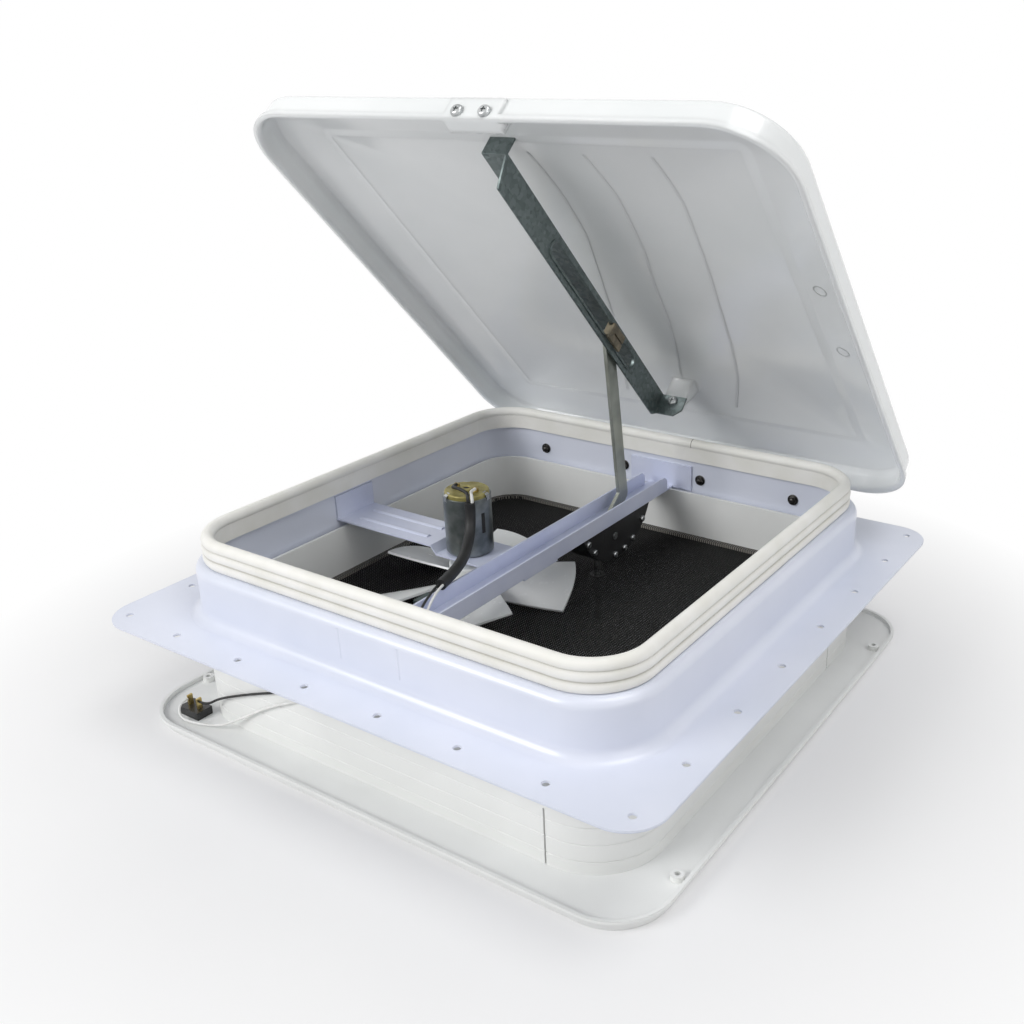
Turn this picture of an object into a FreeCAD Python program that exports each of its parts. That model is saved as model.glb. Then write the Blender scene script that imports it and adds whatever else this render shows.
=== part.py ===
import FreeCAD, Part
import math
import os
from FreeCAD import Vector

os.makedirs("parts", exist_ok=True)

# Roof flange, curb and throat, pressed from one gauge of sheet
SHEET = 1.5
FLANGE_SIDE = 450.0
FLANGE_CORNER = 26.0
FLANGE_LAP = 4.0
ROOF_OPENING = 355.6
THROAT_CORNER = 37.8
CURB_WIDTH = 10.2
CURB_FILLET = 8.0
SHOULDER_RADIUS = 6.0
SHOULDER_TOP = 40.0
RIM_TOP = 55.5
ROOF_SCREW = 5.0
ROOF_SCREW_PITCH = 62.0
ROOF_SCREWS_PER_SIDE = 6
CORNER_SCREW_INSET = 16.0

# Rubber seal pushed over the rim
SEAL_CLEAR = 0.1
SEAL_CROWN = 5.6
SEAL_OUTER_WALL = 3.2
SEAL_INNER_WALL = 2.8
SEAL_BEAD = 1.2
SEAL_FOOT_GAP = 0.5
SEAL_SHOULDER_DROP = 1.0
SEAL_INNER_DROP = 13.0

# Crossbar, a channel across the throat with its lips up
BAR_WIDTH = 24.0
BAR_UNDERSIDE = 15.0
BAR_DEPTH = 13.0
BAR_LIP_SETBACK = 11.0
BAR_LIP_ROUND = 6.0
BAR_TAB_WIDTH = 60.0
BAR_TAB_HEIGHT = 22.0
ARM_SLOT_WIDTH = 8.0
ARM_SLOT_FRONT = 16.0
ARM_SLOT_BACK = 34.0

# Motor, its bracket and the fan
MOTOR_X = -55.0
MOTOR_Y = -18.0
MOTOR_DIAMETER = 36.0
MOTOR_LENGTH = 46.0
MOTOR_EDGE = 2.5
CAP_HEIGHT = 3.4
CAP_INSET = 1.2
TERMINAL_HEIGHT = 2.9
TERMINAL_SPAN = 18.0
NOSE_DIAMETER = 12.0
NOSE_LENGTH = 3.5
NOSE_CLEAR = 0.3
BRACKET_WIDTH = 41.0
BRACKET_STEP = 6.0
BRACKET_STEP_START = 22.0
BRACKET_STEP_RUN = 5.0
BRACKET_TAB_HEIGHT = 19.0
RIB_WIDTH = 5.0
RIB_RISE = 1.2
RIB_SPACING = 17.0
RIB_WALL_GAP = 14.0
RIB_STEP_GAP = 12.0
SHAFT_DIAMETER = 4.0
SHAFT_STICK_OUT = 1.0
SHAFT_END_GAP = 2.0
RUN_CLEAR = 0.05
FAN_RADIUS = 80.0
FAN_BLADES = 5
FAN_FIRST_ANGLE = 24.0
FAN_MIDDLE_Z = -12.5
HUB_DIAMETER = 34.0
HUB_TOP_GAP = 6.0
HUB_HEIGHT = 22.0
BLADE_THICKNESS = 1.8
BLADE_SECTIONS = ((12.0, 24.0, 42.0), (46.0, 42.0, 24.0), (84.0, 56.0, 17.0))
BLADE_CAMBER = 0.06
CLIP_DIAMETER = 11.0
CLIP_HEIGHT = 2.0

# Lid, drawn closed and then swung open about the hinge
LID_OVERHANG = 21.0
LID_CORNER = 49.0
LID_OVERLAP = 22.3
LID_LIP = 2.0
LID_LIP_HEIGHT = 3.6
LID_WALL = 2.2
LID_DRAFT = 0.6
LID_SKIRT = 16.0
LID_SHOULDER = 4.0
LID_SHOULDER_SWEEP = 77.0
LID_BEVEL = 41.0
LID_PANEL_DEPTH = 25.0
LID_PANEL_LAP = 2.0
LID_PANEL_STEP = 0.5
LID_CROWN_RISE = 10.0
LID_CROWN_STEPS = ((0.8, 0.55), (0.52, 0.9), (0.2, 1.0))
LID_CROWN_CORNER = 16.0
LID_OPEN = 46.5
FRONT_BOSS_WIDTH = 42.0
FRONT_BOSS_SHIFT = 12.0
FRONT_BOSS_DEPTH = 8.0
FRONT_BOSS_HEIGHT = 14.0
FRONT_TAB_RADIUS = 5.0
FRONT_TAB_X = 27.0
GUSSET = 2.5
GUSSET_RUN = 17.0

# Hinges
KNUCKLE_RADIUS = 4.2
HINGE_Z = 18.4
PIN_RADIUS = 2.2
PIN_STICK_OUT = 1.0
PIN_HEAD = 2.0
PIN_HEAD_INSET = 0.6
HINGE_INNER = 28.0
HINGE_LENGTH = 106.0
KNUCKLE_SIDE = 26.0
KNUCKLE_GAP = 0.5
LEAF = 1.6
LEAF_FOOT = 14.0
LEAF_TOP = 31.5
BOLT_Z = 26.0
BOLT_NEAR_INSET = 10.0
BOLT_FAR_INSET = 10.4
BOLT_DIAMETER = 4.0
BOLT_CLEAR = 0.1
BOLT_HEAD = 9.0
BOLT_HEAD_HEIGHT = 4.0
NUT_HEIGHT = 3.4
RIVET_SPACING = 30.0
RIVET_RISE = 9.5
RIVET_HEAD = 8.0
RIVET_HEAD_HEIGHT = 1.5

# Lid channel and the slot the shoe slides in
CHANNEL_X = -5.0
CHANNEL_WEB = 20.0
CHANNEL_TOP = 13.0
CHANNEL_WALL = 22.0
CHANNEL_FROM_HINGE = 79.0
CHANNEL_FRONT_GAP = 2.0
CHANNEL_WALL_SETBACK = 8.0
CHANNEL_WALL_CHAMFER = 4.0
SLOT_DEPTH = 2.0
SLOT_FROM_HINGE = 140.0
SLOT_LENGTH = 149.0
SLOT_EDGE = 1.6
SLOT_EDGE_RISE = 1.0
FOOT_WIDTH = 22.0
FOOT_HEIGHT = 18.0
FOOT_CHAMFER = 6.0
POST_INSET = 1.0
FOOT_SCREW_STICK_OUT = 4.0
FRONT_SCREW_SPACING = 21.0
FRONT_SCREW_DEPTH = 5.0
LID_SCREW = 4.0
LID_SCREW_HEAD = 8.4
LID_SCREW_HEAD_HEIGHT = 3.0

# Lift arm, shoe, worm gear and crank
ARM_PIVOT_FROM_HINGE = 118.0
ARM_PIVOT_Z = 4.0
ARM_LENGTH = 160.0
ARM_TRIM = 0.1
ARM_ELBOW_Y = 30.0
ARM_ELBOW_Z = 24.0
ARM_WIDTH = 12.0
ARM_THICKNESS = 3.0
ARM_HUB = 9.0
SHOE_HALF_HEIGHT = 4.3
SLOT_CLEAR = 1.1
SHOE_LENGTH = 20.0
SHOE_HEAD_LIP = 2.2
SHOE_GAP = 0.3
SHOE_PIN = 6.0
SHOE_PIN_HEAD = 10.0
SHOE_PIN_HEAD_HEIGHT = 1.6
ARM_SHAFT = 6.0
WHEEL_RADIUS = 10.2
WHEEL_WIDTH = 5.6
WHEEL_TEETH = 24
WHEEL_TOOTH = 1.6
WORM_RADIUS = 6.0
WORM_LENGTH = 19.0
MESH_GAP = 0.4
CRANK_DIAMETER = 5.0
KNOB_DIAMETER = 36.0
KNOB_HEIGHT = 16.0
KNOB_ABOVE_REST = 3.0
KNOB_FLUTES = 8
KNOB_FLUTE_RADIUS = 4.0
KNOB_FLUTE_OUTSET = 2.0
GEAR_ARC_RADIUS = 54.0
GEAR_ARC_BEHIND = 4.0
GEAR_ARC_Z = 38.0
GEAR_SPLIT = 2.0
GEAR_LEFT = 11.0
GEAR_RIGHT = 10.0
GEAR_CAVITY_GAP = 0.7
GEAR_SLOT_EXTRA = 2.0
GEAR_SCREW_INSET = 3.5
GEAR_SCREW_ANGLES = (-147.0, -132.0, -95.0, -79.0, -64.0, -42.0)
GEAR_SCREW = 2.4
GEAR_SCREW_HEAD = 5.4
GEAR_SCREW_HEAD_HEIGHT = 2.0
GEAR_SCREW_GRIP = 14.0

# Interior garnish, a tray with a wide collar foot and a neck that nests in the throat
TRAY_WIDTH = 27.5
GARNISH_CORNER = 40.0
GARNISH_WALL = 2.5
GARNISH_DROP = 84.0
GARNISH_FLOOR_RISE = 3.5
GARNISH_LIP = 9.0
TRAY_TAPER = 3.5
TRAY_EDGE = 2.0
TRAY_RIM_FOOT = 4.0
COLLAR_GAP = 4.3
COLLAR_STEP = 15.5
TRIM_LINES = 4
TRIM_LINE_FIRST = 9.0
TRIM_LINE_PITCH = 12.0
TRIM_LINE_DEPTH = 0.5
SLIT_WIDTH = 1.2
FRONT_SLIT_FROM_CORNER = 5.0
FRONT_SLIT_TOP = -38.0
SIDE_SLIT_FROM_CORNER = 31.0
SIDE_SLIT_TOP = -50.0
BOSS_INSET = 8.0
BOSS_FROM_CORNER = 58.0
BOSS_DIAMETER = 8.6
BOSS_RISE = 4.0
BOSS_HOLE = 3.6

# Insect screen and the frame that holds it
SCREEN_Z = -25.0
SCREEN_THICKNESS = 0.6
LEDGE_WIDTH = 5.5
LEDGE_HEIGHT = 3.0
SCREEN_SIDE_GAP = 0.4
FRAME_HEIGHT = 2.5
NET_CELLS = 15
NET_HEM = 14.6
NET_STRAND = 1.2

# Switch and its leads
SWITCH_FROM_SIDE = 38.0
SWITCH_FROM_FRONT = 23.0
SWITCH_LENGTH = 20.0
SWITCH_WIDTH = 13.0
SWITCH_HEIGHT = 8.5
BEZEL_LIP = 2.0
BEZEL_HEIGHT = 1.5
ROCKER_GAP = 0.4
ROCKER_CROWN = 1.2
ROCKER_PIN = 1.5
ROCKER_EASE = 0.15
ROCKER_BACK = 1.0
BLADE_LENGTH = 8.0
BLADE_WIDTH = 4.0
BLADE_SPACING = 10.0
LEAD_DIAMETER = 1.8
SLEEVE_DIAMETER = 8.0
SLEEVE_QUARTER = 0.75
SLEEVE_BELOW_CAP = 2.0
SLEEVE_OVER_LIP = 2.4
SLEEVE_LIP_GAP = 0.2
SLEEVE_REACH = 68.5
SLEEVE_FIRST_RUN = 12.0
SLEEVE_ROUTE = ((0.12, 0.095, 0.758), (0.346, 0.27, 0.934), (0.64, 0.504, 0.974), (0.865, 0.76, 0.987))
SLEEVE_WIRE_SIDE = 1.6
SLEEVE_WIRE_RUN = 12.0
CONNECTOR_LENGTH = 14.0
CONNECTOR_AHEAD = 2.0
CONNECTOR_WIDTH = 9.0
CONNECTOR_HEIGHT = 8.0

# Sizes that follow from the ones above
throat_out = ROOF_OPENING / 2
throat_in = throat_out - SHEET
curb_out = throat_out + CURB_WIDTH
corner_centre = throat_out - THROAT_CORNER
seal_top = RIM_TOP + SEAL_CROWN
lid_rim = seal_top - LID_OVERLAP
lid_out = curb_out + LID_OVERHANG
lid_corner_centre = lid_out - LID_CORNER
panel_half = lid_out - LID_BEVEL
skirt_out = lid_out - LID_LIP
skirt_in = skirt_out - LID_WALL - LID_DRAFT
hinge_y = skirt_in - KNUCKLE_RADIUS
arm_pivot_y = hinge_y - ARM_PIVOT_FROM_HINGE
bar_floor = BAR_UNDERSIDE + SHEET
bar_half = BAR_WIDTH / 2
collar_out = throat_in - COLLAR_GAP
collar_in = collar_out - GARNISH_WALL
collar_foot_out = collar_out + COLLAR_STEP
collar_foot_in = collar_foot_out - GARNISH_WALL
rest_z = -GARNISH_DROP
floor_low = rest_z + GARNISH_FLOOR_RISE
floor_top = floor_low + GARNISH_WALL
slot_z = lid_rim + SLOT_DEPTH
slot_half = SHOE_HALF_HEIGHT + SLOT_CLEAR
wall_right = CHANNEL_X + CHANNEL_WEB / 2
wall_left = wall_right - SHEET
half_arm = ARM_THICKNESS / 2
worm_y = arm_pivot_y - WHEEL_RADIUS - WORM_RADIUS - MESH_GAP
worm_x = GEAR_SPLIT + MESH_GAP + WHEEL_WIDTH / 2
motor_seat = BAR_UNDERSIDE
motor_top = motor_seat + MOTOR_LENGTH

up = Vector(0, 0, 1)
across = Vector(1, 0, 0)


def at(point):
    """A point of a profile, drawn across and up."""
    return Vector(point[0], 0, point[1])


def polar(centre, radius, angle):
    """The point at an angle in degrees round a centre."""
    turn = math.radians(angle)
    return (centre[0] + radius * math.cos(turn), centre[1] + radius * math.sin(turn))


def bend(centre, radius, start, end):
    """An arc step of a profile, as the point half way and the point at its end."""
    return polar(centre, radius, (start + end) / 2), polar(centre, radius, end)


def profile(start, *steps):
    """A closed face in the XZ plane from straight steps and arc steps."""
    edges = []
    here = start
    for step in steps:
        if isinstance(step[0], tuple):
            edges.append(Part.Arc(at(here), at(step[0]), at(step[1])).toShape())
            here = step[1]
        else:
            edges.append(Part.makeLine(at(here), at(step)))
            here = step
    edges.append(Part.makeLine(at(here), at(start)))
    return Part.Face(Part.Wire(edges))


def moved(shape, x=0.0, y=0.0, z=0.0):
    """A copy of a shape, shifted."""
    copy = shape.copy()
    copy.translate(Vector(x, y, z))
    return copy


def turned(shape, angle, axis=Vector(0, 0, 1), centre=Vector(0, 0, 0)):
    """A copy of a shape, turned by an angle in degrees."""
    copy = shape.copy()
    copy.rotate(centre, axis, angle)
    return copy


def joined(shapes):
    """One solid from several that touch or overlap."""
    return shapes[0].fuse(shapes[1:]).removeSplitter()


def square_ring(face, corner):
    """Carries a profile, drawn at its distance from the middle, round a square with round corners."""
    side = moved(face, y=-corner).extrude(Vector(0, 2 * corner, 0))
    bow = moved(face, y=corner).revolve(Vector(corner, corner, 0), Vector(0, 0, 1), 90)
    quarter = side.fuse(bow)
    return joined([turned(quarter, 90 * n) for n in range(4)])


def block(x0, x1, y0, y1, z0, z1):
    """A box between two opposite corners."""
    return Part.makeBox(x1 - x0, y1 - y0, z1 - z0, Vector(x0, y0, z0))


def upright_edges(shape):
    """The edges of a shape that run straight up."""
    found = []
    for edge in shape.Edges:
        way = edge.tangentAt(edge.FirstParameter)
        if abs(way.z) > 0.999:
            found.append(edge)
    return found


def rounded_slab(half, radius, z0, z1):
    """A square slab with round corners, centred on the upright axis."""
    slab = block(-half, half, -half, half, z0, z1)
    return slab.makeFillet(radius, upright_edges(slab))


def rounded_wire(half, radius, z):
    """The outline of a square with round corners at one height."""
    slab = rounded_slab(half, radius, z, z + 1)
    low = [face for face in slab.Faces if face.BoundBox.ZMax < z + 0.5]
    return low[0].OuterWire


def rod(radius, start, end):
    """A round bar between two points."""
    way = end - start
    return Part.makeCylinder(radius, way.Length, start, way)


def side_plate(points, x0, x1):
    """A flat plate drawn by its corners in the YZ plane, between two positions across."""
    corners = [Vector(x0, y, z) for y, z in points]
    return Part.Face(Part.makePolygon(corners + corners[:1])).extrude(Vector(x1 - x0, 0, 0))


def slot_plate(y0, y1, z, half, x0, x1):
    """A plate with two round ends, along Y, between two positions across."""
    middle = block(x0, x1, y0 + half, y1 - half, z - half, z + half)
    across = Vector(x1 - x0, 0, 0)
    front = rod(half, Vector(x0, y0 + half, z), Vector(x0, y0 + half, z) + across)
    rear = rod(half, Vector(x0, y1 - half, z), Vector(x0, y1 - half, z) + across)
    return joined([middle, front, rear])


def tube(name, points, diameter):
    """A round cord of straight runs joined by tangent arcs, with its tightest bend printed."""
    corners = [Vector(*point) for point in points]
    runs = [(b - a).Length for a, b in zip(corners, corners[1:])]
    edges = []
    here = corners[0]
    tightest = 1e9
    for n in range(1, len(corners) - 1):
        back = (corners[n - 1] - corners[n]).normalize()
        ahead = (corners[n + 1] - corners[n]).normalize()
        turn = math.pi - back.getAngle(ahead)
        reach = 0.45 * min(runs[n - 1], runs[n])
        radius = reach / math.tan(turn / 2)
        tightest = min(tightest, radius)
        start = corners[n] + back * reach
        end = corners[n] + ahead * reach
        inward = (back + ahead).normalize()
        to_centre = math.hypot(radius, reach)
        middle = corners[n] + inward * (to_centre - radius)
        edges.append(Part.makeLine(here, start))
        edges.append(Part.Arc(start, middle, end).toShape())
        here = end
    edges.append(Part.makeLine(here, corners[-1]))
    spine = Part.Wire(edges)
    first = (corners[1] - corners[0]).normalize()
    ring = Part.Wire([Part.makeCircle(diameter / 2, corners[0], first)])
    solid = spine.makePipeShell([ring], True, False)
    wanted = math.pi * diameter ** 2 / 4 * spine.Length
    print(name, "length", round(spine.Length, 1), "tightest bend", round(tightest, 1),
          "volume ratio", round(solid.Volume / wanted, 4))
    return solid


def opened(shape):
    """Swings a shape of the closed lid open about the hinge."""
    return turned(shape, -LID_OPEN, Vector(1, 0, 0), Vector(0, hinge_y, HINGE_Z))


def save(name, solids):
    """Checks the solids of one node and writes them to its file."""
    shape = solids if isinstance(solids, list) else [solids]
    pieces = [piece for item in shape for piece in item.Solids]
    for piece in pieces:
        if not piece.isValid():
            print("not valid:", name)
    whole = pieces[0] if len(pieces) == 1 else Part.makeCompound(pieces)
    whole.exportStep("parts/" + name + ".step")
    print(name, len(pieces), "solids", round(whole.Volume / 1000, 1), "cm3")


# Roof flange: flange, curb skin and throat wall in one profile, then the square flange and its holes
fillet_centre = (curb_out + CURB_FILLET, SHEET + CURB_FILLET)
shoulder_centre = (curb_out - SHOULDER_RADIUS, SHOULDER_TOP - SHOULDER_RADIUS)
skin_in = SHOULDER_RADIUS - SHEET
flange_reach = fillet_centre[0] + FLANGE_LAP
curb_face = profile(
    (flange_reach, 0),
    (fillet_centre[0], 0),
    bend(fillet_centre, CURB_FILLET + SHEET, 270, 180),
    polar(shoulder_centre, skin_in, 0),
    bend(shoulder_centre, skin_in, 0, 90),
    (throat_out, SHOULDER_TOP - SHEET),
    (throat_out, 0),
    (throat_in, 0),
    (throat_in, RIM_TOP),
    (throat_out, RIM_TOP),
    (throat_out, SHOULDER_TOP),
    (shoulder_centre[0], SHOULDER_TOP),
    bend(shoulder_centre, SHOULDER_RADIUS, 90, 0),
    polar(fillet_centre, CURB_FILLET, 180),
    bend(fillet_centre, CURB_FILLET, 180, 270),
    (flange_reach, SHEET),
)
curb = square_ring(curb_face, corner_centre)
flange_half = FLANGE_SIDE / 2
apron = rounded_slab(flange_half, FLANGE_CORNER, 0, SHEET)
apron_inner = fillet_centre[0] + FLANGE_LAP / 2
apron = apron.cut(rounded_slab(apron_inner, apron_inner - corner_centre, 0, SHEET))
roof_flange = joined([curb, apron])
screw_line = (fillet_centre[0] + flange_half) / 2
screw_drill = Part.makeCylinder(ROOF_SCREW / 2, SHEET)
drills = []
for n in range(ROOF_SCREWS_PER_SIDE):
    along = (n - (ROOF_SCREWS_PER_SIDE - 1) / 2) * ROOF_SCREW_PITCH
    for side in range(4):
        drills.append(turned(moved(screw_drill, along, screw_line), 90 * side))
corner_place = flange_half - CORNER_SCREW_INSET
for side in range(4):
    drills.append(turned(moved(screw_drill, corner_place, corner_place), 90 * side))
hinge_outer = HINGE_INNER + HINGE_LENGTH
bolt_near = HINGE_INNER + BOLT_NEAR_INSET
bolt_far = hinge_outer - BOLT_FAR_INSET
bolt_places = (-bolt_far, -bolt_near, bolt_near, bolt_far)
leaf_back = curb_out + LEAF
for x in bolt_places:
    drills.append(rod(BOLT_DIAMETER / 2 + BOLT_CLEAR, Vector(x, throat_in - SHEET, BOLT_Z),
                      Vector(x, leaf_back, BOLT_Z)))
roof_flange = roof_flange.cut(drills)
save("roof_flange", roof_flange)

# Lid seal: two beads and a crown outside, one lip inside, with a groove for the rim
groove_in = throat_in - SEAL_CLEAR
groove_out = throat_out + SEAL_CLEAR
seal_out = throat_out + SEAL_OUTER_WALL
seal_in = throat_in - SEAL_INNER_WALL
seal_foot = SHOULDER_TOP + SEAL_FOOT_GAP
bead_height = (RIM_TOP - SEAL_SHOULDER_DROP - seal_foot) / 2
bead_one = seal_foot + bead_height
bead_two = bead_one + bead_height
crown_middle = (seal_in + seal_out) / 2
seal_face = profile(
    (groove_out, seal_foot),
    (seal_out, seal_foot),
    ((seal_out + SEAL_BEAD, (seal_foot + bead_one) / 2), (seal_out, bead_one)),
    ((seal_out + SEAL_BEAD, (bead_one + bead_two) / 2), (seal_out, bead_two)),
    ((crown_middle, seal_top), (seal_in, bead_two)),
    (seal_in, RIM_TOP - SEAL_INNER_DROP),
    (groove_in, RIM_TOP - SEAL_INNER_DROP),
    (groove_in, RIM_TOP + SEAL_CLEAR),
    (groove_out, RIM_TOP + SEAL_CLEAR),
)
save("lid_seal", square_ring(seal_face, corner_centre))

# Crossbar
bar_end = throat_in
lip_end = bar_end - BAR_LIP_SETBACK
lip_top = BAR_UNDERSIDE + BAR_DEPTH
bar_tray = block(-bar_half, bar_half, -bar_end, bar_end, BAR_UNDERSIDE, bar_floor)
lip = block(0, SHEET, -lip_end, lip_end, BAR_UNDERSIDE, lip_top)
lip_corners = []
for edge in lip.Edges:
    way = edge.tangentAt(edge.FirstParameter)
    if abs(way.x) > 0.999 and edge.BoundBox.ZMin > bar_floor:
        lip_corners.append(edge)
lip = lip.makeFillet(BAR_LIP_ROUND, lip_corners)
tab_top = BAR_UNDERSIDE + BAR_TAB_HEIGHT
half_tab = BAR_TAB_WIDTH / 2
tab = block(-half_tab, half_tab, bar_end - SHEET, bar_end, BAR_UNDERSIDE, tab_top)
crossbar = joined([bar_tray, moved(lip, -bar_half), moved(lip, bar_half - SHEET), tab, turned(tab, 180)])
slot_cut = block(-ARM_SLOT_WIDTH / 2, ARM_SLOT_WIDTH / 2, arm_pivot_y - ARM_SLOT_FRONT,
                 arm_pivot_y + ARM_SLOT_BACK, BAR_UNDERSIDE, bar_floor)
save("crossbar", crossbar.cut(slot_cut))

# Motor bracket: wall tab, ribbed plate, step down and motor seat under the crossbar
plate_top = motor_seat + BRACKET_STEP
step_start = MOTOR_X - BRACKET_STEP_START
step_end = step_start + BRACKET_STEP_RUN
tab_x = -throat_in
bracket_face = profile(
    (tab_x, plate_top - SHEET),
    (step_start, plate_top - SHEET),
    (step_end, motor_seat - SHEET),
    (bar_half, motor_seat - SHEET),
    (bar_half, motor_seat),
    (step_end, motor_seat),
    (step_start, plate_top),
    (tab_x + SHEET, plate_top),
    (tab_x + SHEET, plate_top + BRACKET_TAB_HEIGHT),
    (tab_x, plate_top + BRACKET_TAB_HEIGHT),
)
bracket = moved(bracket_face, y=MOTOR_Y - BRACKET_WIDTH / 2).extrude(Vector(0, BRACKET_WIDTH, 0))
rib_round = (RIB_WIDTH ** 2 / 4 + RIB_RISE ** 2) / (2 * RIB_RISE)
rib_start = tab_x + RIB_WALL_GAP
rib_end = step_start - RIB_STEP_GAP
ribs = []
for side in (-1, 1):
    rib_axis = Vector(rib_start, MOTOR_Y + side * RIB_SPACING / 2, plate_top + RIB_RISE - rib_round)
    long_rib = rod(rib_round, rib_axis, rib_axis + Vector(rib_end - rib_start, 0, 0))
    over = block(rib_start, rib_end, MOTOR_Y - BRACKET_WIDTH / 2, MOTOR_Y + BRACKET_WIDTH / 2,
                 plate_top - SHEET / 2, plate_top + RIB_RISE)
    ribs.append(long_rib.common(over))
bracket = joined([bracket] + ribs)
motor_foot = Vector(MOTOR_X, MOTOR_Y, motor_seat)
nose_hole = Part.makeCylinder(NOSE_DIAMETER / 2 + NOSE_CLEAR, SHEET, motor_foot - Vector(0, 0, SHEET))
save("motor_bracket", bracket.cut(nose_hole))

# Motor: drawn can with a nose through the bracket, end cap and terminals
motor_radius = MOTOR_DIAMETER / 2
can = Part.makeCylinder(motor_radius, MOTOR_LENGTH, motor_foot)
low_rim = [edge for edge in can.Edges if edge.BoundBox.ZMax < motor_seat + 0.1]
can = can.makeFillet(MOTOR_EDGE, low_rim)
nose = Part.makeCylinder(NOSE_DIAMETER / 2, NOSE_LENGTH + SHEET, motor_foot - up * NOSE_LENGTH)
bore_length = MOTOR_LENGTH / 2 + NOSE_LENGTH
shaft_bore = Part.makeCylinder(SHAFT_DIAMETER / 2 + RUN_CLEAR, bore_length, motor_foot - up * NOSE_LENGTH)
save("motor_can", joined([can, nose]).cut(shaft_bore))
cap_foot = Vector(MOTOR_X, MOTOR_Y, motor_top)
end_cap = Part.makeCylinder(motor_radius - CAP_INSET, CAP_HEIGHT, cap_foot)
cap_rim = [edge for edge in end_cap.Edges if edge.BoundBox.ZMin > motor_top + CAP_HEIGHT - 0.1]
end_cap = end_cap.makeFillet(CAP_INSET, cap_rim)
save("motor_end_cap", end_cap)
cap_top = motor_top + CAP_HEIGHT
terminal = block(-BLADE_WIDTH / 2, BLADE_WIDTH / 2, -SHEET / 2, SHEET / 2,
                 cap_top, cap_top + TERMINAL_HEIGHT)
terminals = []
for side in (-1, 1):
    terminals.append(moved(terminal, MOTOR_X + side * TERMINAL_SPAN / 2, MOTOR_Y))
save("motor_terminals", terminals)

# Fan on the motor shaft: hub, twisted blades and a retaining clip
hub_top = motor_seat - NOSE_LENGTH - HUB_TOP_GAP
hub_low = hub_top - HUB_HEIGHT
shaft_radius = SHAFT_DIAMETER / 2
shaft_low = hub_low - CLIP_HEIGHT - SHAFT_STICK_OUT
shaft_top = motor_seat + MOTOR_LENGTH / 2 - SHAFT_END_GAP
motor_shaft = Part.makeCylinder(shaft_radius, shaft_top - shaft_low, Vector(MOTOR_X, MOTOR_Y, shaft_low))
save("motor_shaft", motor_shaft)


def blade_section(radius, chord, pitch):
    """A thin cambered section of one blade, square to the blade's length."""
    half = chord / 2
    rise = chord * BLADE_CAMBER
    thin = BLADE_THICKNESS
    lower = Part.Arc(Vector(radius, -half, 0), Vector(radius, 0, rise), Vector(radius, half, 0)).toShape()
    upper = Part.Arc(Vector(radius, half, thin), Vector(radius, 0, rise + thin),
                     Vector(radius, -half, thin)).toShape()
    rear = Part.makeLine(Vector(radius, half, 0), Vector(radius, half, thin))
    front = Part.makeLine(Vector(radius, -half, thin), Vector(radius, -half, 0))
    wire = Part.Wire([lower, rear, upper, front])
    wire.rotate(Vector(radius, 0, 0), Vector(1, 0, 0), pitch)
    return wire


blade = Part.makeLoft([blade_section(*section) for section in BLADE_SECTIONS], True, False)
blade = moved(blade, z=FAN_MIDDLE_Z)
reach = Part.makeCylinder(FAN_RADIUS, 2 * HUB_HEIGHT, Vector(0, 0, FAN_MIDDLE_Z - HUB_HEIGHT))
blade = blade.common(reach)
hub = Part.makeCylinder(HUB_DIAMETER / 2, HUB_HEIGHT, Vector(0, 0, hub_low))
hub_rim = [edge for edge in hub.Edges if edge.BoundBox.ZMin > hub_top - 0.1]
hub = hub.makeFillet(SHEET, hub_rim)
blades = [turned(blade, FAN_FIRST_ANGLE + n * 360 / FAN_BLADES) for n in range(FAN_BLADES)]
fan = joined([hub] + blades)
fan = fan.cut(Part.makeCylinder(shaft_radius + RUN_CLEAR, HUB_HEIGHT, Vector(0, 0, hub_low)))
save("fan", moved(fan, MOTOR_X, MOTOR_Y))
clip_foot = Vector(MOTOR_X, MOTOR_Y, hub_low - CLIP_HEIGHT)
fan_clip = Part.makeCylinder(CLIP_DIAMETER / 2, CLIP_HEIGHT, clip_foot)
fan_clip = fan_clip.cut(Part.makeCylinder(shaft_radius + RUN_CLEAR, CLIP_HEIGHT, clip_foot))
save("fan_clip", fan_clip)

# Lid shell: rim lip, skirt, bevel and crowned panel, with bosses for the channel
lid_top_out = LID_PANEL_DEPTH + LID_WALL
skirt_arc = (skirt_out - LID_SHOULDER, lid_rim + LID_SKIRT)
panel_hem = lid_corner_centre + LID_PANEL_LAP
lid_face = profile(
    (lid_out, lid_rim),
    (lid_out, lid_rim + LID_LIP_HEIGHT),
    (skirt_out, lid_rim + LID_LIP_HEIGHT + LID_LIP / 2),
    polar(skirt_arc, LID_SHOULDER, 0),
    bend(skirt_arc, LID_SHOULDER, 0, LID_SHOULDER_SWEEP),
    (panel_half, lid_rim + lid_top_out),
    (panel_hem, lid_rim + lid_top_out),
    (panel_hem, lid_rim + LID_PANEL_DEPTH),
    (panel_half + LID_PANEL_STEP, lid_rim + LID_PANEL_DEPTH),
    (skirt_in - LID_SHOULDER / 2, lid_rim + LID_SKIRT + LID_SHOULDER / 2),
    (skirt_in, lid_rim + LID_SKIRT - LID_SHOULDER / 2),
    (skirt_in, lid_rim + LID_WALL),
    (lid_out - LID_LIP - LID_WALL / 2, lid_rim),
)
lid_shell = square_ring(lid_face, lid_corner_centre)
crown_base = panel_hem + LID_PANEL_LAP / 2
crown_in = lid_rim + LID_PANEL_DEPTH
crown_out = lid_rim + lid_top_out


def dome(low):
    """The solid under a smooth crown that starts at the panel's edge at one height."""
    wires = [rounded_wire(crown_base, crown_base - lid_corner_centre, low)]
    for share, rise in LID_CROWN_STEPS:
        wires.append(rounded_wire(crown_base * share, LID_CROWN_CORNER, low + rise * LID_CROWN_RISE))
    return Part.makeLoft(wires, True, False)


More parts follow.
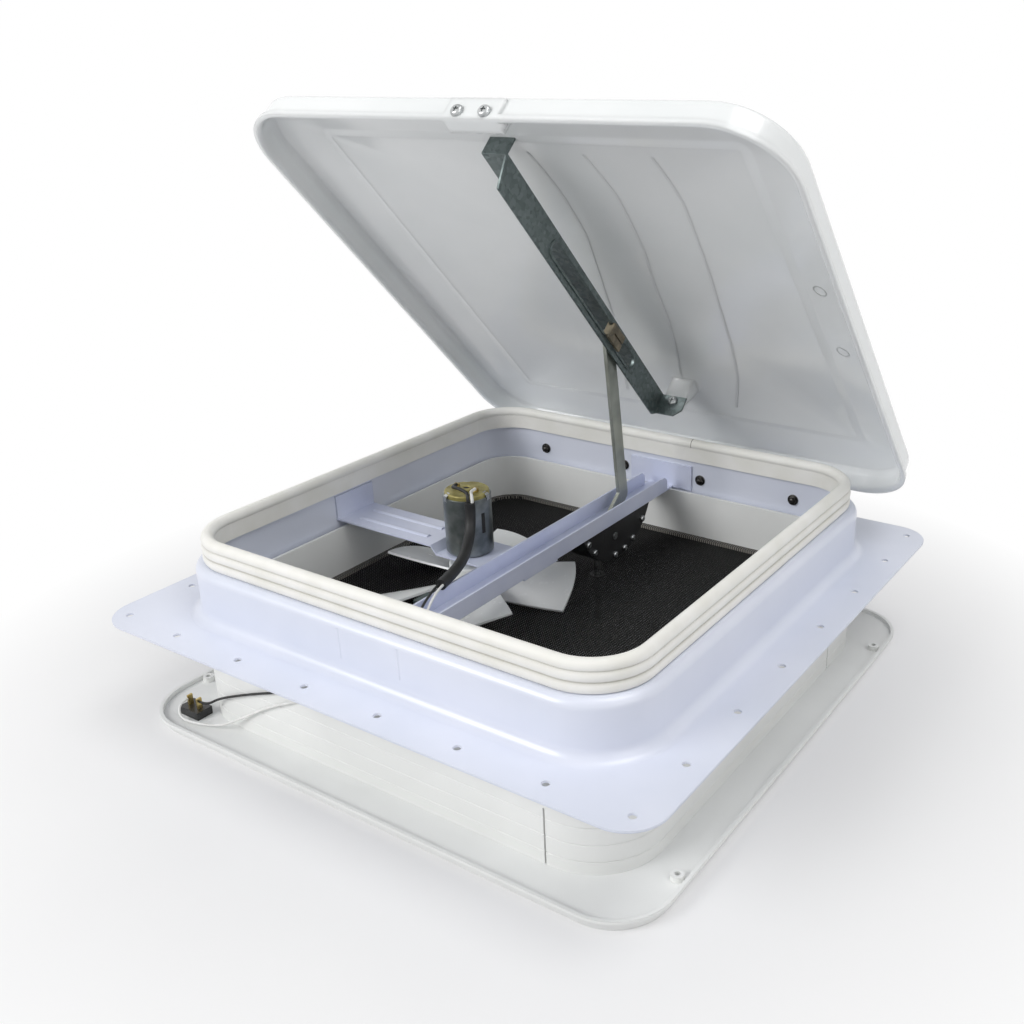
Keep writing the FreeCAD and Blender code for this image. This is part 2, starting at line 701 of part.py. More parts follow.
crown = rounded_slab(crown_base, crown_base - lid_corner_centre, crown_in, crown_out)
crown = crown.fuse(dome(crown_out)).cut(dome(crown_in))
boss_half = FRONT_BOSS_WIDTH / 2
front_boss_x = CHANNEL_X + FRONT_BOSS_SHIFT
boss_back = -skirt_in + FRONT_BOSS_DEPTH
front_boss = block(front_boss_x - boss_half, front_boss_x + boss_half, -skirt_in - LID_WALL / 2, boss_back,
                   lid_rim, lid_rim + FRONT_BOSS_HEIGHT)
front_pad = block(front_boss_x - boss_half, front_boss_x + boss_half, -lid_out, -skirt_in - LID_WALL / 2,
                  lid_rim, lid_rim + LID_SKIRT)
tab_foot = Vector(FRONT_TAB_X, -skirt_in, lid_rim)
front_tab = rod(FRONT_TAB_RADIUS, tab_foot, tab_foot + up * LID_LIP_HEIGHT)
tab_keep = block(0, lid_out, -skirt_in - LID_WALL / 2, 0, lid_rim, lid_rim + LID_SKIRT)
front_tab = front_tab.common(tab_keep)
channel_rear = hinge_y - CHANNEL_FROM_HINGE
channel_front = CHANNEL_FRONT_GAP - panel_half
foot_front = channel_rear + SHEET
foot_low = lid_rim + SLOT_DEPTH
foot_left = wall_right + POST_INSET
foot_right = wall_right + FOOT_WIDTH - POST_INSET
foot_high = crown_in + LID_CROWN_RISE
post = block(foot_left, foot_right, foot_front, foot_front + GUSSET, foot_low, foot_high)
gusset_points = [(foot_front, foot_low), (foot_front + GUSSET_RUN, foot_high), (foot_front, foot_high)]
gussets = [side_plate(gusset_points, foot_left, foot_left + GUSSET),
           side_plate(gusset_points, foot_right - GUSSET, foot_right)]
under_crown = dome(crown_in + LID_WALL / 2)
below_panel = block(foot_left, foot_right, foot_front, foot_front + GUSSET_RUN, foot_low,
                    crown_in + LID_WALL / 2)
post = joined([post] + gussets).common(joined([under_crown, below_panel]))
lid = joined([lid_shell, crown, front_boss, front_pad, front_tab, post])
screw_z = lid_rim + FRONT_SCREW_DEPTH
screw_radius = LID_SCREW / 2
screw_seat = -lid_out
front_screw_tip = boss_back + 2 * SHEET
lid_drills = []
front_screws = []
for side in (-1, 1):
    x = front_boss_x + side * FRONT_SCREW_SPACING / 2
    inner_end = Vector(x, front_screw_tip, screw_z)
    seat = Vector(x, screw_seat, screw_z)
    lid_drills.append(rod(screw_radius + BOLT_CLEAR, Vector(x, -lid_out, screw_z), inner_end))
    shank = rod(screw_radius, seat, inner_end)
    head = rod(LID_SCREW_HEAD / 2, seat, seat - Vector(0, LID_SCREW_HEAD_HEIGHT, 0))
    head_rim = [edge for edge in head.Edges if edge.BoundBox.YMax < screw_seat - SHEET]
    head = head.makeFillet(LID_SCREW_HEAD_HEIGHT / 2, head_rim)
    front_screws.append(joined([shank, head]))
rivets = []
leaf_in = skirt_in - LEAF
leaf_mid = HINGE_INNER + HINGE_LENGTH / 2
rivet_z = lid_rim + RIVET_RISE
rivet_places = [sign * (leaf_mid + step * RIVET_SPACING / 2) for sign in (-1, 1) for step in (-1, 1)]
for x in rivet_places:
    inner = Vector(x, leaf_in, rivet_z)
    outer = Vector(x, skirt_out, rivet_z)
    lid_drills.append(rod(screw_radius + BOLT_CLEAR, inner, outer))
    shank = rod(screw_radius, inner, outer)
    inner_head = rod(RIVET_HEAD / 2, inner, inner - Vector(0, RIVET_HEAD_HEIGHT, 0))
    outer_head = rod(RIVET_HEAD / 2, outer, outer + Vector(0, RIVET_HEAD_HEIGHT, 0))
    rivets.append(joined([shank, inner_head, outer_head]))
foot_screw_x = (foot_left + foot_right) / 2
foot_screw_z = foot_low + FOOT_HEIGHT / 3
foot_seat = Vector(foot_screw_x, channel_rear, foot_screw_z)
foot_tip = Vector(foot_screw_x, foot_front + GUSSET + FOOT_SCREW_STICK_OUT, foot_screw_z)
lid_drills.append(rod(screw_radius + BOLT_CLEAR, foot_seat, foot_tip))
lid = lid.cut(lid_drills)
save("lid", opened(lid))
save("lid_front_screws", [opened(screw) for screw in front_screws])
save("hinge_rivets", [opened(rivet) for rivet in rivets])
foot_head = rod(LID_SCREW_HEAD / 2, foot_seat, foot_seat - Vector(0, LID_SCREW_HEAD_HEIGHT, 0))
foot_screw = joined([rod(screw_radius, foot_seat, foot_tip), foot_head])
save("lid_foot_screw", opened(foot_screw))

# Lid channel: web, slotted wall, front tab behind the boss and rear foot
web_top = lid_rim + CHANNEL_TOP
wall_low = web_top - CHANNEL_WALL
web = block(wall_right - CHANNEL_WEB, wall_right, channel_front, channel_rear, web_top - SHEET, web_top)
wall_front = channel_front + CHANNEL_WALL_SETBACK
wall_points = [(channel_front, web_top), (channel_rear + SHEET, web_top),
               (channel_rear + SHEET, wall_low + CHANNEL_WALL_CHAMFER),
               (channel_rear - CHANNEL_WALL_CHAMFER, wall_low), (wall_front, wall_low)]
wall = side_plate(wall_points, wall_left, wall_right)
slot_rear = hinge_y - SLOT_FROM_HINGE
slot_front = slot_rear - SLOT_LENGTH
slot_rim = slot_plate(slot_front - SLOT_EDGE, slot_rear + SLOT_EDGE, slot_z, slot_half + SLOT_EDGE,
                      wall_right, wall_right + SLOT_EDGE_RISE)
front_plate = block(wall_right - CHANNEL_WEB, wall_right, channel_front, channel_front + SHEET,
                    web_top - SHEET, crown_in)
foot = block(wall_left, wall_right + FOOT_WIDTH, channel_rear, channel_rear + SHEET,
             web_top - FOOT_HEIGHT, web_top)
foot_corner = [edge for edge in foot.Edges
               if edge.BoundBox.XMin > wall_right and edge.BoundBox.ZMax < web_top - FOOT_HEIGHT + SHEET
               and abs(edge.tangentAt(edge.FirstParameter).y) > 0.999]
foot = foot.makeChamfer(FOOT_CHAMFER, foot_corner)
channel = joined([web, wall, slot_rim, front_plate, foot])
slot_hole = slot_plate(slot_front, slot_rear, slot_z, slot_half, wall_left, wall_right + SLOT_EDGE_RISE)
channel = channel.cut([slot_hole] + lid_drills)
save("lid_channel", opened(channel))

# Hinges: base leaves on the curb, lid leaves inside the skirt, pins and bolts
hinge_line = Vector(0, hinge_y, HINGE_Z)


def along_hinge(radius, x0, x1):
    """A round bar on the hinge line between two positions across."""
    return rod(radius, Vector(x0, 0, 0) + hinge_line, Vector(x1, 0, 0) + hinge_line)


leaf_plate = block(HINGE_INNER, hinge_outer, curb_out, leaf_back, LEAF_FOOT, LEAF_TOP)
leaf_plate = leaf_plate.cut([rod(BOLT_DIAMETER / 2 + BOLT_CLEAR, Vector(x, curb_out, BOLT_Z),
                                 Vector(x, leaf_back, BOLT_Z)) for x in (bolt_near, bolt_far)])
arms = []
for x0 in (HINGE_INNER, hinge_outer - KNUCKLE_SIDE):
    x1 = x0 + KNUCKLE_SIDE
    arms.append(block(x0, x1, leaf_back - LEAF / 2, hinge_y, HINGE_Z - LEAF / 2, HINGE_Z + LEAF / 2))
    arms.append(along_hinge(KNUCKLE_RADIUS, x0, x1))
pin_hole = along_hinge(PIN_RADIUS + RUN_CLEAR, HINGE_INNER, hinge_outer)
base_leaf = joined([leaf_plate] + arms).cut(pin_hole)
mid_start = HINGE_INNER + KNUCKLE_SIDE + KNUCKLE_GAP
mid_end = hinge_outer - KNUCKLE_SIDE - KNUCKLE_GAP
lid_plate = block(mid_start, mid_end, leaf_in, skirt_in, HINGE_Z, lid_rim + LID_SKIRT - LID_SHOULDER / 2)
lid_leaf = joined([lid_plate, along_hinge(KNUCKLE_RADIUS, mid_start, mid_end)]).cut(pin_hole)
lid_leaf = lid_leaf.cut(lid_drills)
pin = joined([along_hinge(PIN_RADIUS, HINGE_INNER - PIN_STICK_OUT, hinge_outer + PIN_STICK_OUT),
              along_hinge(KNUCKLE_RADIUS - PIN_HEAD_INSET, hinge_outer, hinge_outer + PIN_HEAD)])


def mirrored(shape):
    """The same shape on the other side of the middle plane."""
    return shape.mirror(Vector(0, 0, 0), across)


save("hinge_base_right", base_leaf)
save("hinge_base_left", mirrored(base_leaf))
save("hinge_leaf_right", opened(lid_leaf))
lid_leaf_left = mirrored(lid_leaf)
save("hinge_leaf_left", opened(lid_leaf_left))
save("hinge_pins", [pin, mirrored(pin)])
bolts = []
for x in bolt_places:
    inner = Vector(x, throat_in, BOLT_Z)
    outer = Vector(x, leaf_back, BOLT_Z)
    head = rod(BOLT_HEAD / 2, inner, inner - Vector(0, BOLT_HEAD_HEIGHT, 0))
    nut = rod(BOLT_HEAD / 2, outer, outer + Vector(0, NUT_HEIGHT, 0))
    bolts.append(joined([rod(BOLT_DIAMETER / 2, inner, outer), head, nut]))
save("hinge_bolts", bolts)

# Lift arm: round foot, joggled shank and straight strip up to the shoe
pivot = Vector(0, arm_pivot_y, ARM_PIVOT_Z)
lift = math.radians(LID_OPEN)
height = (slot_z - HINGE_Z) + (hinge_y - arm_pivot_y) * math.sin(lift)
height = height - (ARM_PIVOT_Z - HINGE_Z) * math.cos(lift)
arm_angle = LID_OPEN + math.degrees(math.asin(height / ARM_LENGTH)) + ARM_TRIM
tip_y = arm_pivot_y - ARM_LENGTH * math.cos(math.radians(arm_angle))
tip_z = ARM_PIVOT_Z + ARM_LENGTH * math.sin(math.radians(arm_angle))
elbow = (arm_pivot_y + ARM_ELBOW_Y, ARM_PIVOT_Z + ARM_ELBOW_Z)


def strip(start, end, width, x0, x1):
    """A flat strip with round ends between two points of the YZ plane."""
    run = math.hypot(end[0] - start[0], end[1] - start[1])
    lean = math.degrees(math.atan2(end[1] - start[1], end[0] - start[0]))
    flat = slot_plate(-width / 2, run + width / 2, 0, width / 2, x0, x1)
    flat = turned(flat, lean, Vector(1, 0, 0))
    return moved(flat, 0, start[0], start[1])


foot_strip = strip((arm_pivot_y, ARM_PIVOT_Z), elbow, ARM_WIDTH, -half_arm, half_arm)
long_strip = strip(elbow, (tip_y, tip_z), ARM_WIDTH, -half_arm, half_arm)
arm_hub = rod(ARM_HUB, pivot - across * half_arm, pivot + across * half_arm)
tip = Vector(0, tip_y, tip_z)
shaft_hole = rod(ARM_SHAFT / 2 + RUN_CLEAR, pivot - across * half_arm, pivot + across * half_arm)
tip_hole = rod(SHOE_PIN / 2 + RUN_CLEAR, tip - across * half_arm, tip + across * half_arm)
lift_arm = joined([foot_strip, long_strip, arm_hub]).cut([shaft_hole, tip_hole])
save("lift_arm", lift_arm)

# Shoe: pin through the arm's tip, block beside the wall, tongue in the slot and a lipped head
shoe_left = half_arm + SHOE_GAP
shoe_mid = wall_left - SHOE_GAP
shoe_out = wall_right + SLOT_EDGE_RISE + SHOE_GAP
half_shoe = SHOE_LENGTH / 2
cheek_half = SHOE_HALF_HEIGHT + SHOE_HEAD_LIP
cheek = block(shoe_left, shoe_mid, -half_shoe, half_shoe, -cheek_half, cheek_half)
tongue = block(shoe_mid, shoe_out, -half_shoe, half_shoe, -SHOE_HALF_HEIGHT, SHOE_HALF_HEIGHT)
shoe_head = block(shoe_out, shoe_out + SHOE_HEAD_LIP, -half_shoe, half_shoe, -cheek_half, cheek_half)
prong_gap = block(shoe_mid, shoe_out + SHOE_HEAD_LIP, -half_shoe / 2, half_shoe, -SHEET / 2, SHEET / 2)
shoe = joined([cheek, tongue, shoe_head]).cut(prong_gap)
slide_shoe = moved(turned(shoe, -LID_OPEN, across), 0, tip_y, tip_z)
save("slide_shoe", slide_shoe)
pin_left = -half_arm - SHOE_GAP
shoe_pin = joined([
    rod(SHOE_PIN / 2, tip + across * pin_left, tip + across * shoe_left),
    rod(SHOE_PIN_HEAD / 2, tip + across * (pin_left - SHOE_PIN_HEAD_HEIGHT), tip + across * pin_left),
])
save("shoe_pin", shoe_pin)

# Worm wheel on the arm's shaft, and the crank with its worm and knob
wheel_left = GEAR_SPLIT + MESH_GAP
wheel_right = wheel_left + WHEEL_WIDTH
wheel = rod(WHEEL_RADIUS, pivot + across * wheel_left, pivot + across * wheel_right)
tooth_gap = rod(WHEEL_TOOTH / 2, pivot + Vector(wheel_left, WHEEL_RADIUS, 0),
                pivot + Vector(wheel_right, WHEEL_RADIUS, 0))
gaps = [turned(tooth_gap, n * 360 / WHEEL_TEETH, across, pivot) for n in range(WHEEL_TEETH)]
shaft_start = GEAR_SPLIT - GEAR_LEFT + SHEET
shaft_end = GEAR_SPLIT + GEAR_RIGHT + SHEET / 2
arm_shaft = rod(ARM_SHAFT / 2, pivot + across * shaft_start, pivot + across * shaft_end)
hub_boss = rod(ARM_HUB, pivot + across * half_arm, pivot + across * wheel_left)
save("worm_wheel", joined([wheel.cut(gaps), arm_shaft, hub_boss]))
crank_foot = Vector(worm_x, worm_y, 0)
knob_low = rest_z + KNOB_ABOVE_REST
knob_top = knob_low + KNOB_HEIGHT
worm_low = ARM_PIVOT_Z - WORM_LENGTH / 2
crank_low = crank_foot + up * (knob_top - KNOB_HEIGHT / 2)
crank_shaft = joined([
    rod(CRANK_DIAMETER / 2, crank_low, crank_foot + up * (worm_low + SHEET)),
    rod(WORM_RADIUS, crank_foot + up * worm_low, crank_foot + up * (worm_low + WORM_LENGTH)),
])
save("crank_shaft", crank_shaft)
knob = rod(KNOB_DIAMETER / 2, crank_foot + up * knob_low, crank_foot + up * knob_top)
flute_at = KNOB_DIAMETER / 2 + KNOB_FLUTE_OUTSET
flute = rod(KNOB_FLUTE_RADIUS, crank_foot + Vector(flute_at, 0, knob_low),
            crank_foot + Vector(flute_at, 0, knob_top - SHEET))
knob = knob.cut([turned(flute, n * 360 / KNOB_FLUTES, up, crank_foot) for n in range(KNOB_FLUTES)])
knob = knob.cut(rod(CRANK_DIAMETER / 2 + RUN_CLEAR, crank_low, crank_foot + up * knob_top))
save("crank_knob", knob)

# Gearbox: a half-moon box under the crossbar in two halves, hollowed for the arm, wheel and worm
gear_arc_y = arm_pivot_y + GEAR_ARC_BEHIND
gear_centre = Vector(0, gear_arc_y, GEAR_ARC_Z)
gear_left = GEAR_SPLIT - GEAR_LEFT
gear_right = GEAR_SPLIT + GEAR_RIGHT
below_bar = block(gear_left, gear_right, gear_arc_y - GEAR_ARC_RADIUS, gear_arc_y + GEAR_ARC_RADIUS,
                  GEAR_ARC_Z - GEAR_ARC_RADIUS, BAR_UNDERSIDE)
moon = rod(GEAR_ARC_RADIUS, gear_centre + across * gear_left, gear_centre + across * gear_right)
moon = moon.common(below_bar)
arm_space = block(-half_arm - GEAR_CAVITY_GAP, GEAR_SPLIT, arm_pivot_y - ARM_SLOT_FRONT - GEAR_SLOT_EXTRA,
                  arm_pivot_y + ARM_SLOT_BACK + GEAR_SLOT_EXTRA, ARM_PIVOT_Z - ARM_HUB - GEAR_CAVITY_GAP,
                  BAR_UNDERSIDE)
hub_space = rod(ARM_HUB + GEAR_CAVITY_GAP, pivot + across * half_arm, pivot + across * wheel_left)
wheel_space = rod(WHEEL_RADIUS + GEAR_CAVITY_GAP, pivot + across * GEAR_SPLIT,
                  pivot + across * (wheel_right + GEAR_CAVITY_GAP))
shaft_space = rod(ARM_SHAFT / 2 + RUN_CLEAR, pivot + across * shaft_start, pivot + across * shaft_end)
worm_space = rod(WORM_RADIUS + GEAR_CAVITY_GAP, crank_foot + up * (worm_low - MESH_GAP),
                 crank_foot + up * (worm_low + WORM_LENGTH + MESH_GAP))
crank_space = rod(CRANK_DIAMETER / 2 + 2 * RUN_CLEAR, crank_foot + up * (GEAR_ARC_Z - GEAR_ARC_RADIUS),
                  crank_foot + up * ARM_PIVOT_Z)
spaces = [arm_space, hub_space, wheel_space, shaft_space, worm_space, crank_space]
gear_screws = []
screw_round = GEAR_ARC_RADIUS - GEAR_SCREW_INSET
for angle in GEAR_SCREW_ANGLES:
    y, z = polar((gear_arc_y, GEAR_ARC_Z), screw_round, angle)
    seat = Vector(gear_right, y, z)
    end = seat - across * GEAR_SCREW_GRIP
    spaces.append(rod(GEAR_SCREW / 2 + RUN_CLEAR, end, seat))
    gear_head = rod(GEAR_SCREW_HEAD / 2, seat, seat + across * GEAR_SCREW_HEAD_HEIGHT)
    gear_screws.append(joined([rod(GEAR_SCREW / 2, end, seat), gear_head]))
left_half = block(gear_left, GEAR_SPLIT, gear_arc_y - GEAR_ARC_RADIUS, gear_arc_y + GEAR_ARC_RADIUS,
                  GEAR_ARC_Z - GEAR_ARC_RADIUS, BAR_UNDERSIDE)
save("gearbox_housing", moon.common(left_half).cut(spaces))
save("gearbox_cover", moon.cut(left_half).cut(spaces))
save("gearbox_screws", gear_screws)

# Interior garnish: tray, perimeter lip, collar with trim lines, screen ledge and screw bosses
garnish_half = collar_foot_out + TRAY_WIDTH
tray_corner_centre = garnish_half - GARNISH_CORNER
tray_half = garnish_half - GARNISH_WALL
rim_lip_top = rest_z + GARNISH_LIP
rim_foot = garnish_half - TRAY_TAPER
lip_face = profile(
    (rim_foot - TRAY_RIM_FOOT, rest_z),
    (rim_foot, rest_z),
    (garnish_half, rim_lip_top - TRAY_EDGE),
    (garnish_half, rim_lip_top),
    (tray_half, rim_lip_top),
    (tray_half, floor_top),
    (rim_foot - TRAY_RIM_FOOT, floor_top),
)
lip_wall = square_ring(lip_face, tray_corner_centre)
tray_outer = rim_foot - TRAY_RIM_FOOT / 2
tray = rounded_slab(tray_outer, tray_outer - tray_corner_centre, floor_low, floor_top)
tray = tray.cut(rounded_slab(collar_foot_in, collar_foot_in - corner_centre, floor_low, floor_top))
ledge_top = SCREEN_Z - SCREEN_THICKNESS
ledge_in = collar_in - LEDGE_WIDTH
trim_steps = []
for n in range(TRIM_LINES):
    line = floor_top + TRIM_LINE_FIRST + n * TRIM_LINE_PITCH
    trim_steps.append((collar_foot_out, line - TRIM_LINE_DEPTH))
    trim_steps.append((collar_foot_out - TRIM_LINE_DEPTH, line))
    trim_steps.append((collar_foot_out, line + TRIM_LINE_DEPTH))
collar_face = profile(
    (collar_foot_in, floor_low),
    (collar_foot_out, floor_low),
    *trim_steps,
    (collar_foot_out, ledge_top),
    (collar_out, ledge_top),
    (collar_out, BAR_UNDERSIDE),
    (collar_in, BAR_UNDERSIDE),
    (collar_in, ledge_top),
    (ledge_in, ledge_top),
    (ledge_in, ledge_top - LEDGE_HEIGHT),
    (collar_foot_in, ledge_top - LEDGE_HEIGHT),
)
collar = square_ring(collar_face, corner_centre)
boss_foot = Vector(0, 0, floor_top - GARNISH_WALL / 2)
boss = Part.makeCylinder(BOSS_DIAMETER / 2, BOSS_RISE + GARNISH_WALL / 2, boss_foot)
boss_drill = Part.makeCylinder(BOSS_HOLE / 2, BOSS_RISE + GARNISH_WALL, Vector(0, 0, floor_low))
boss_x = garnish_half - BOSS_INSET
boss_y = garnish_half - BOSS_FROM_CORNER
boss_places = [(sx * boss_x, sy * boss_y) for sx in (-1, 1) for sy in (-1, 1)]
garnish = joined([lip_wall, tray, collar] + [moved(boss, x, y) for x, y in boss_places])
half_slit = SLIT_WIDTH / 2
front_slit_x = corner_centre - FRONT_SLIT_FROM_CORNER
side_slit_y = corner_centre - SIDE_SLIT_FROM_CORNER
switch_x = SWITCH_FROM_SIDE - garnish_half
switch_y = SWITCH_FROM_FRONT - garnish_half
switch_hole = block(-SWITCH_LENGTH / 2 - BOLT_CLEAR, SWITCH_LENGTH / 2 + BOLT_CLEAR,
                    -SWITCH_WIDTH / 2 - BOLT_CLEAR, SWITCH_WIDTH / 2 + BOLT_CLEAR, floor_low, floor_top)
garnish_cuts = [
    block(front_slit_x - half_slit, front_slit_x + half_slit, -collar_foot_out, -collar_foot_in,
          floor_top, FRONT_SLIT_TOP),
    block(collar_foot_in, collar_foot_out, side_slit_y - half_slit, side_slit_y + half_slit,
          floor_top, SIDE_SLIT_TOP),
    moved(switch_hole, switch_x, switch_y),
]
garnish = garnish.cut(garnish_cuts + [moved(boss_drill, x, y) for x, y in boss_places])
save("interior_garnish", garnish)

# Insect screen on the collar's ledge, held down by a frame
net_half = collar_in - SCREEN_SIDE_GAP
net_round = net_half - corner_centre
net_outline = rounded_wire(net_half, net_round, ledge_top)
net_pitch = 2 * (net_half - NET_HEM) / NET_CELLS
hole_half = (net_pitch - NET_STRAND) / 2
holes = []
for row in range(NET_CELLS):
    for column in range(NET_CELLS):
        x = (column - (NET_CELLS - 1) / 2) * net_pitch
        y = (row - (NET_CELLS - 1) / 2) * net_pitch
        ring = [Vector(x + sx * hole_half, y + sy * hole_half, ledge_top)
                for sx, sy in ((-1, -1), (-1, 1), (1, 1), (1, -1), (-1, -1))]
        holes.append(Part.makePolygon(ring))
net = Part.makeFace([net_outline] + holes, "Part::FaceMakerBullseye").extrude(up * SCREEN_THICKNESS)
save("insect_screen", net)
frame_face = profile((ledge_in, SCREEN_Z), (net_half, SCREEN_Z), (net_half, SCREEN_Z + FRAME_HEIGHT),
                     (ledge_in, SCREEN_Z + FRAME_HEIGHT))
save("screen_frame", square_ring(frame_face, corner_centre))

# Switch in the tray: body with a bezel below, rocker and two blade terminals
half_l = SWITCH_LENGTH / 2
half_w = SWITCH_WIDTH / 2
body_top = floor_top + SWITCH_HEIGHT - GARNISH_WALL
bezel_low = floor_low - BEZEL_HEIGHT
switch = block(-half_l, half_l, -half_w, half_w, bezel_low, body_top)
bezel = block(-half_l - BEZEL_LIP, half_l + BEZEL_LIP, -half_w - BEZEL_LIP, half_w + BEZEL_LIP,
              bezel_low, floor_low)
rocker_l = half_l - BEZEL_LIP
rocker_w = half_w - BEZEL_LIP
well_top = floor_top
well = block(-rocker_l, rocker_l, -rocker_w, rocker_w, bezel_low, well_top)
rocker_axis = bezel_low + BEZEL_HEIGHT
pin_line = Vector(0, half_w - BEZEL_LIP / 2, rocker_axis)
rocker_hole = rod(ROCKER_PIN / 2 + RUN_CLEAR, pin_line, Vector(pin_line.x, -pin_line.y, pin_line.z))
switch = joined([switch, bezel]).cut([well, rocker_hole])
save("switch_body", moved(switch, switch_x, switch_y))
rock_l = rocker_l - 2 * ROCKER_GAP
rock_w = rocker_w - ROCKER_GAP
rock_round = rock_l + ROCKER_EASE
rocker = Part.makeCylinder(rock_round, 2 * rock_w, Vector(0, -rock_w, rocker_axis), Vector(0, 1, 0))
rocker = rocker.common(block(-rock_l, rock_l, -rock_w, rock_w, bezel_low - ROCKER_CROWN,
                             rocker_axis + ROCKER_BACK))
rocker = joined([rocker, rod(ROCKER_PIN / 2, pin_line, Vector(0, -pin_line.y, rocker_axis))])
save("switch_rocker", moved(rocker, switch_x, switch_y))
blade_top = body_top + BLADE_LENGTH
blade_flat = block(-SHEET / 2, SHEET / 2, -BLADE_WIDTH / 2, BLADE_WIDTH / 2, body_top, blade_top)
switch_blades = [moved(blade_flat, switch_x + side * BLADE_SPACING / 2, switch_y) for side in (-1, 1)]
save("switch_terminals", switch_blades)

# Leads: motor pigtails into the sleeve, the sleeve over the crossbar's lip, two wires on to the switch
lead_radius = LEAD_DIAMETER / 2
sleeve_radius = SLEEVE_DIAMETER / 2
beside_can = SLEEVE_QUARTER * (motor_radius + sleeve_radius)
sleeve_start = Vector(MOTOR_X + beside_can, MOTOR_Y - beside_can, cap_top - SLEEVE_BELOW_CAP)
sleeve_mouth = Vector(-bar_half + SLEEVE_OVER_LIP, sleeve_start.y - SLEEVE_REACH,
                      lip_top + sleeve_radius + SLEEVE_LIP_GAP)
sleeve_span = sleeve_mouth - sleeve_start
sleeve_points = [sleeve_start, sleeve_start - up * SLEEVE_FIRST_RUN]
for far, forward, down in SLEEVE_ROUTE:
    step = Vector(far * sleeve_span.x, forward * sleeve_span.y, down * sleeve_span.z)
    sleeve_points.append(sleeve_start + step)
sleeve_points.append(sleeve_mouth)
save("motor_lead_sleeve", tube("motor_lead_sleeve", sleeve_points, SLEEVE_DIAMETER))
terminal_top = cap_top + TERMINAL_HEIGHT
terminal_x = TERMINAL_SPAN / 2
terminal_front = MOTOR_Y - SHEET / 2
pigtail_z = terminal_top - lead_radius
black_pigtail = [
    (MOTOR_X - terminal_x, terminal_front, pigtail_z),
    (MOTOR_X - terminal_x, terminal_front - 6, pigtail_z),
    (MOTOR_X, terminal_front - 11, terminal_top + 2.2),
    (sleeve_start.x - 5.5, sleeve_start.y + 3.6, terminal_top + 1),
    (sleeve_start.x - 1.5, sleeve_start.y, sleeve_start.z + 4.5),
    (sleeve_start.x - 1.5, sleeve_start.y, sleeve_start.z),
]
save("motor_lead_black", tube("motor_lead_black", black_pigtail, LEAD_DIAMETER))
white_pigtail = [
    (MOTOR_X + terminal_x, terminal_front, pigtail_z),
    (MOTOR_X + terminal_x, terminal_front - 6, pigtail_z),
    (sleeve_start.x + 1.4, sleeve_start.y + 1.2, sleeve_start.z + 5.5),
    (sleeve_start.x + 1.4, sleeve_start.y + 1.2, sleeve_start.z),
]
save("motor_lead_white", tube("motor_lead_white", white_pigtail, LEAD_DIAMETER))
wire_gap = throat_in - COLLAR_GAP / 2
blade_mid = blade_top - BLADE_LENGTH / 3
right_blade = switch_x + BLADE_SPACING / 2
left_blade = switch_x - BLADE_SPACING / 2
over_collar = -wire_gap + 0.4
past_foot = -collar_foot_out - lead_radius - 1
over_step = ledge_top + lead_radius + 1
bar_wire = bar_floor + lead_radius + 1.5
sleeve_way = (sleeve_points[-1] - sleeve_points[-2]).normalize()
mouth_side = up.cross(sleeve_way).normalize() * SLEEVE_WIRE_SIDE
black_end = sleeve_mouth - mouth_side
white_end = sleeve_mouth + mouth_side
black_points = [
    (right_blade + SHEET / 2, switch_y, blade_mid),
    (right_blade + 9, switch_y, blade_mid),
    (right_blade + 22, past_foot - 0.6, blade_mid + 9),
    (right_blade + 58, past_foot, blade_mid + 24),
    (-84, past_foot, over_step - 8),
    (-66, past_foot + 0.4, over_step + 0.8),
    (-54, past_foot + 8, over_step + 9),
    (-46, -wire_gap, -2),
    (-40.5, over_collar, 20),
    (-24, over_collar + 4.2, 26.5),
    (-9, over_collar + 5.3, 23.5),
    (-5.6, black_end.y - 48, bar_wire + 0.8),
    (-5.5, black_end.y - 30, bar_wire + 3),
    black_end + sleeve_way * SLEEVE_WIRE_RUN,
    black_end,
]
save("lead_black", tube("lead_black", black_points, LEAD_DIAMETER))
white_points = [
    (left_blade, switch_y - BLADE_WIDTH / 2, blade_mid),
    (left_blade, switch_y - 9, blade_mid),
    (left_blade + 3, switch_y - 13, blade_mid - 6.5),
    (left_blade + 12, switch_y - 13.5, floor_top + 2.4),
    (left_blade + 37, switch_y - 6, floor_top + 2.5),
    (left_blade + 54, past_foot - 0.4, blade_mid - 0.5),
    (left_blade + 84, past_foot, blade_mid + 19),
    (-66, past_foot, over_step - 9),
    (-54, past_foot + 0.4, over_step),
    (-45, past_foot + 8, over_step + 8.5),
    (-37.5, -wire_gap, -2),
    (-32.5, over_collar, 19.5),
    (-18, over_collar + 3.5, 21.5),
    (-5, over_collar + 7.2, 19.3),
    (1.4, white_end.y - 46, bar_wire + 0.2),
    (0.4, white_end.y - 30, bar_wire + 2.6),
    white_end + sleeve_way * SLEEVE_WIRE_RUN,
    white_end,
]
save("lead_white", tube("lead_white", white_points, LEAD_DIAMETER))
connector_y = sleeve_mouth.y - CONNECTOR_AHEAD
connector = block(-bar_half - CONNECTOR_WIDTH, -bar_half, connector_y - CONNECTOR_LENGTH, connector_y,
                  bar_floor, bar_floor + CONNECTOR_HEIGHT)
save("lead_connector", connector)
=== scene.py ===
# %% [markdown]
# # A roof vent fan, dressed in Blender
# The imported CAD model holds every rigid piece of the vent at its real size. This lesson keeps those
# pieces where they are and gives them their finishes, then adds what a solid model leaves plain: the
# woven insect screen, the soft wires, the screw heads, the marks of the moulding tools and the light
# of a small studio.

# %% Load the frame
import math
import bpy
import bmesh
from mathutils import Matrix, Vector
from mathutils.bvhtree import BVHTree


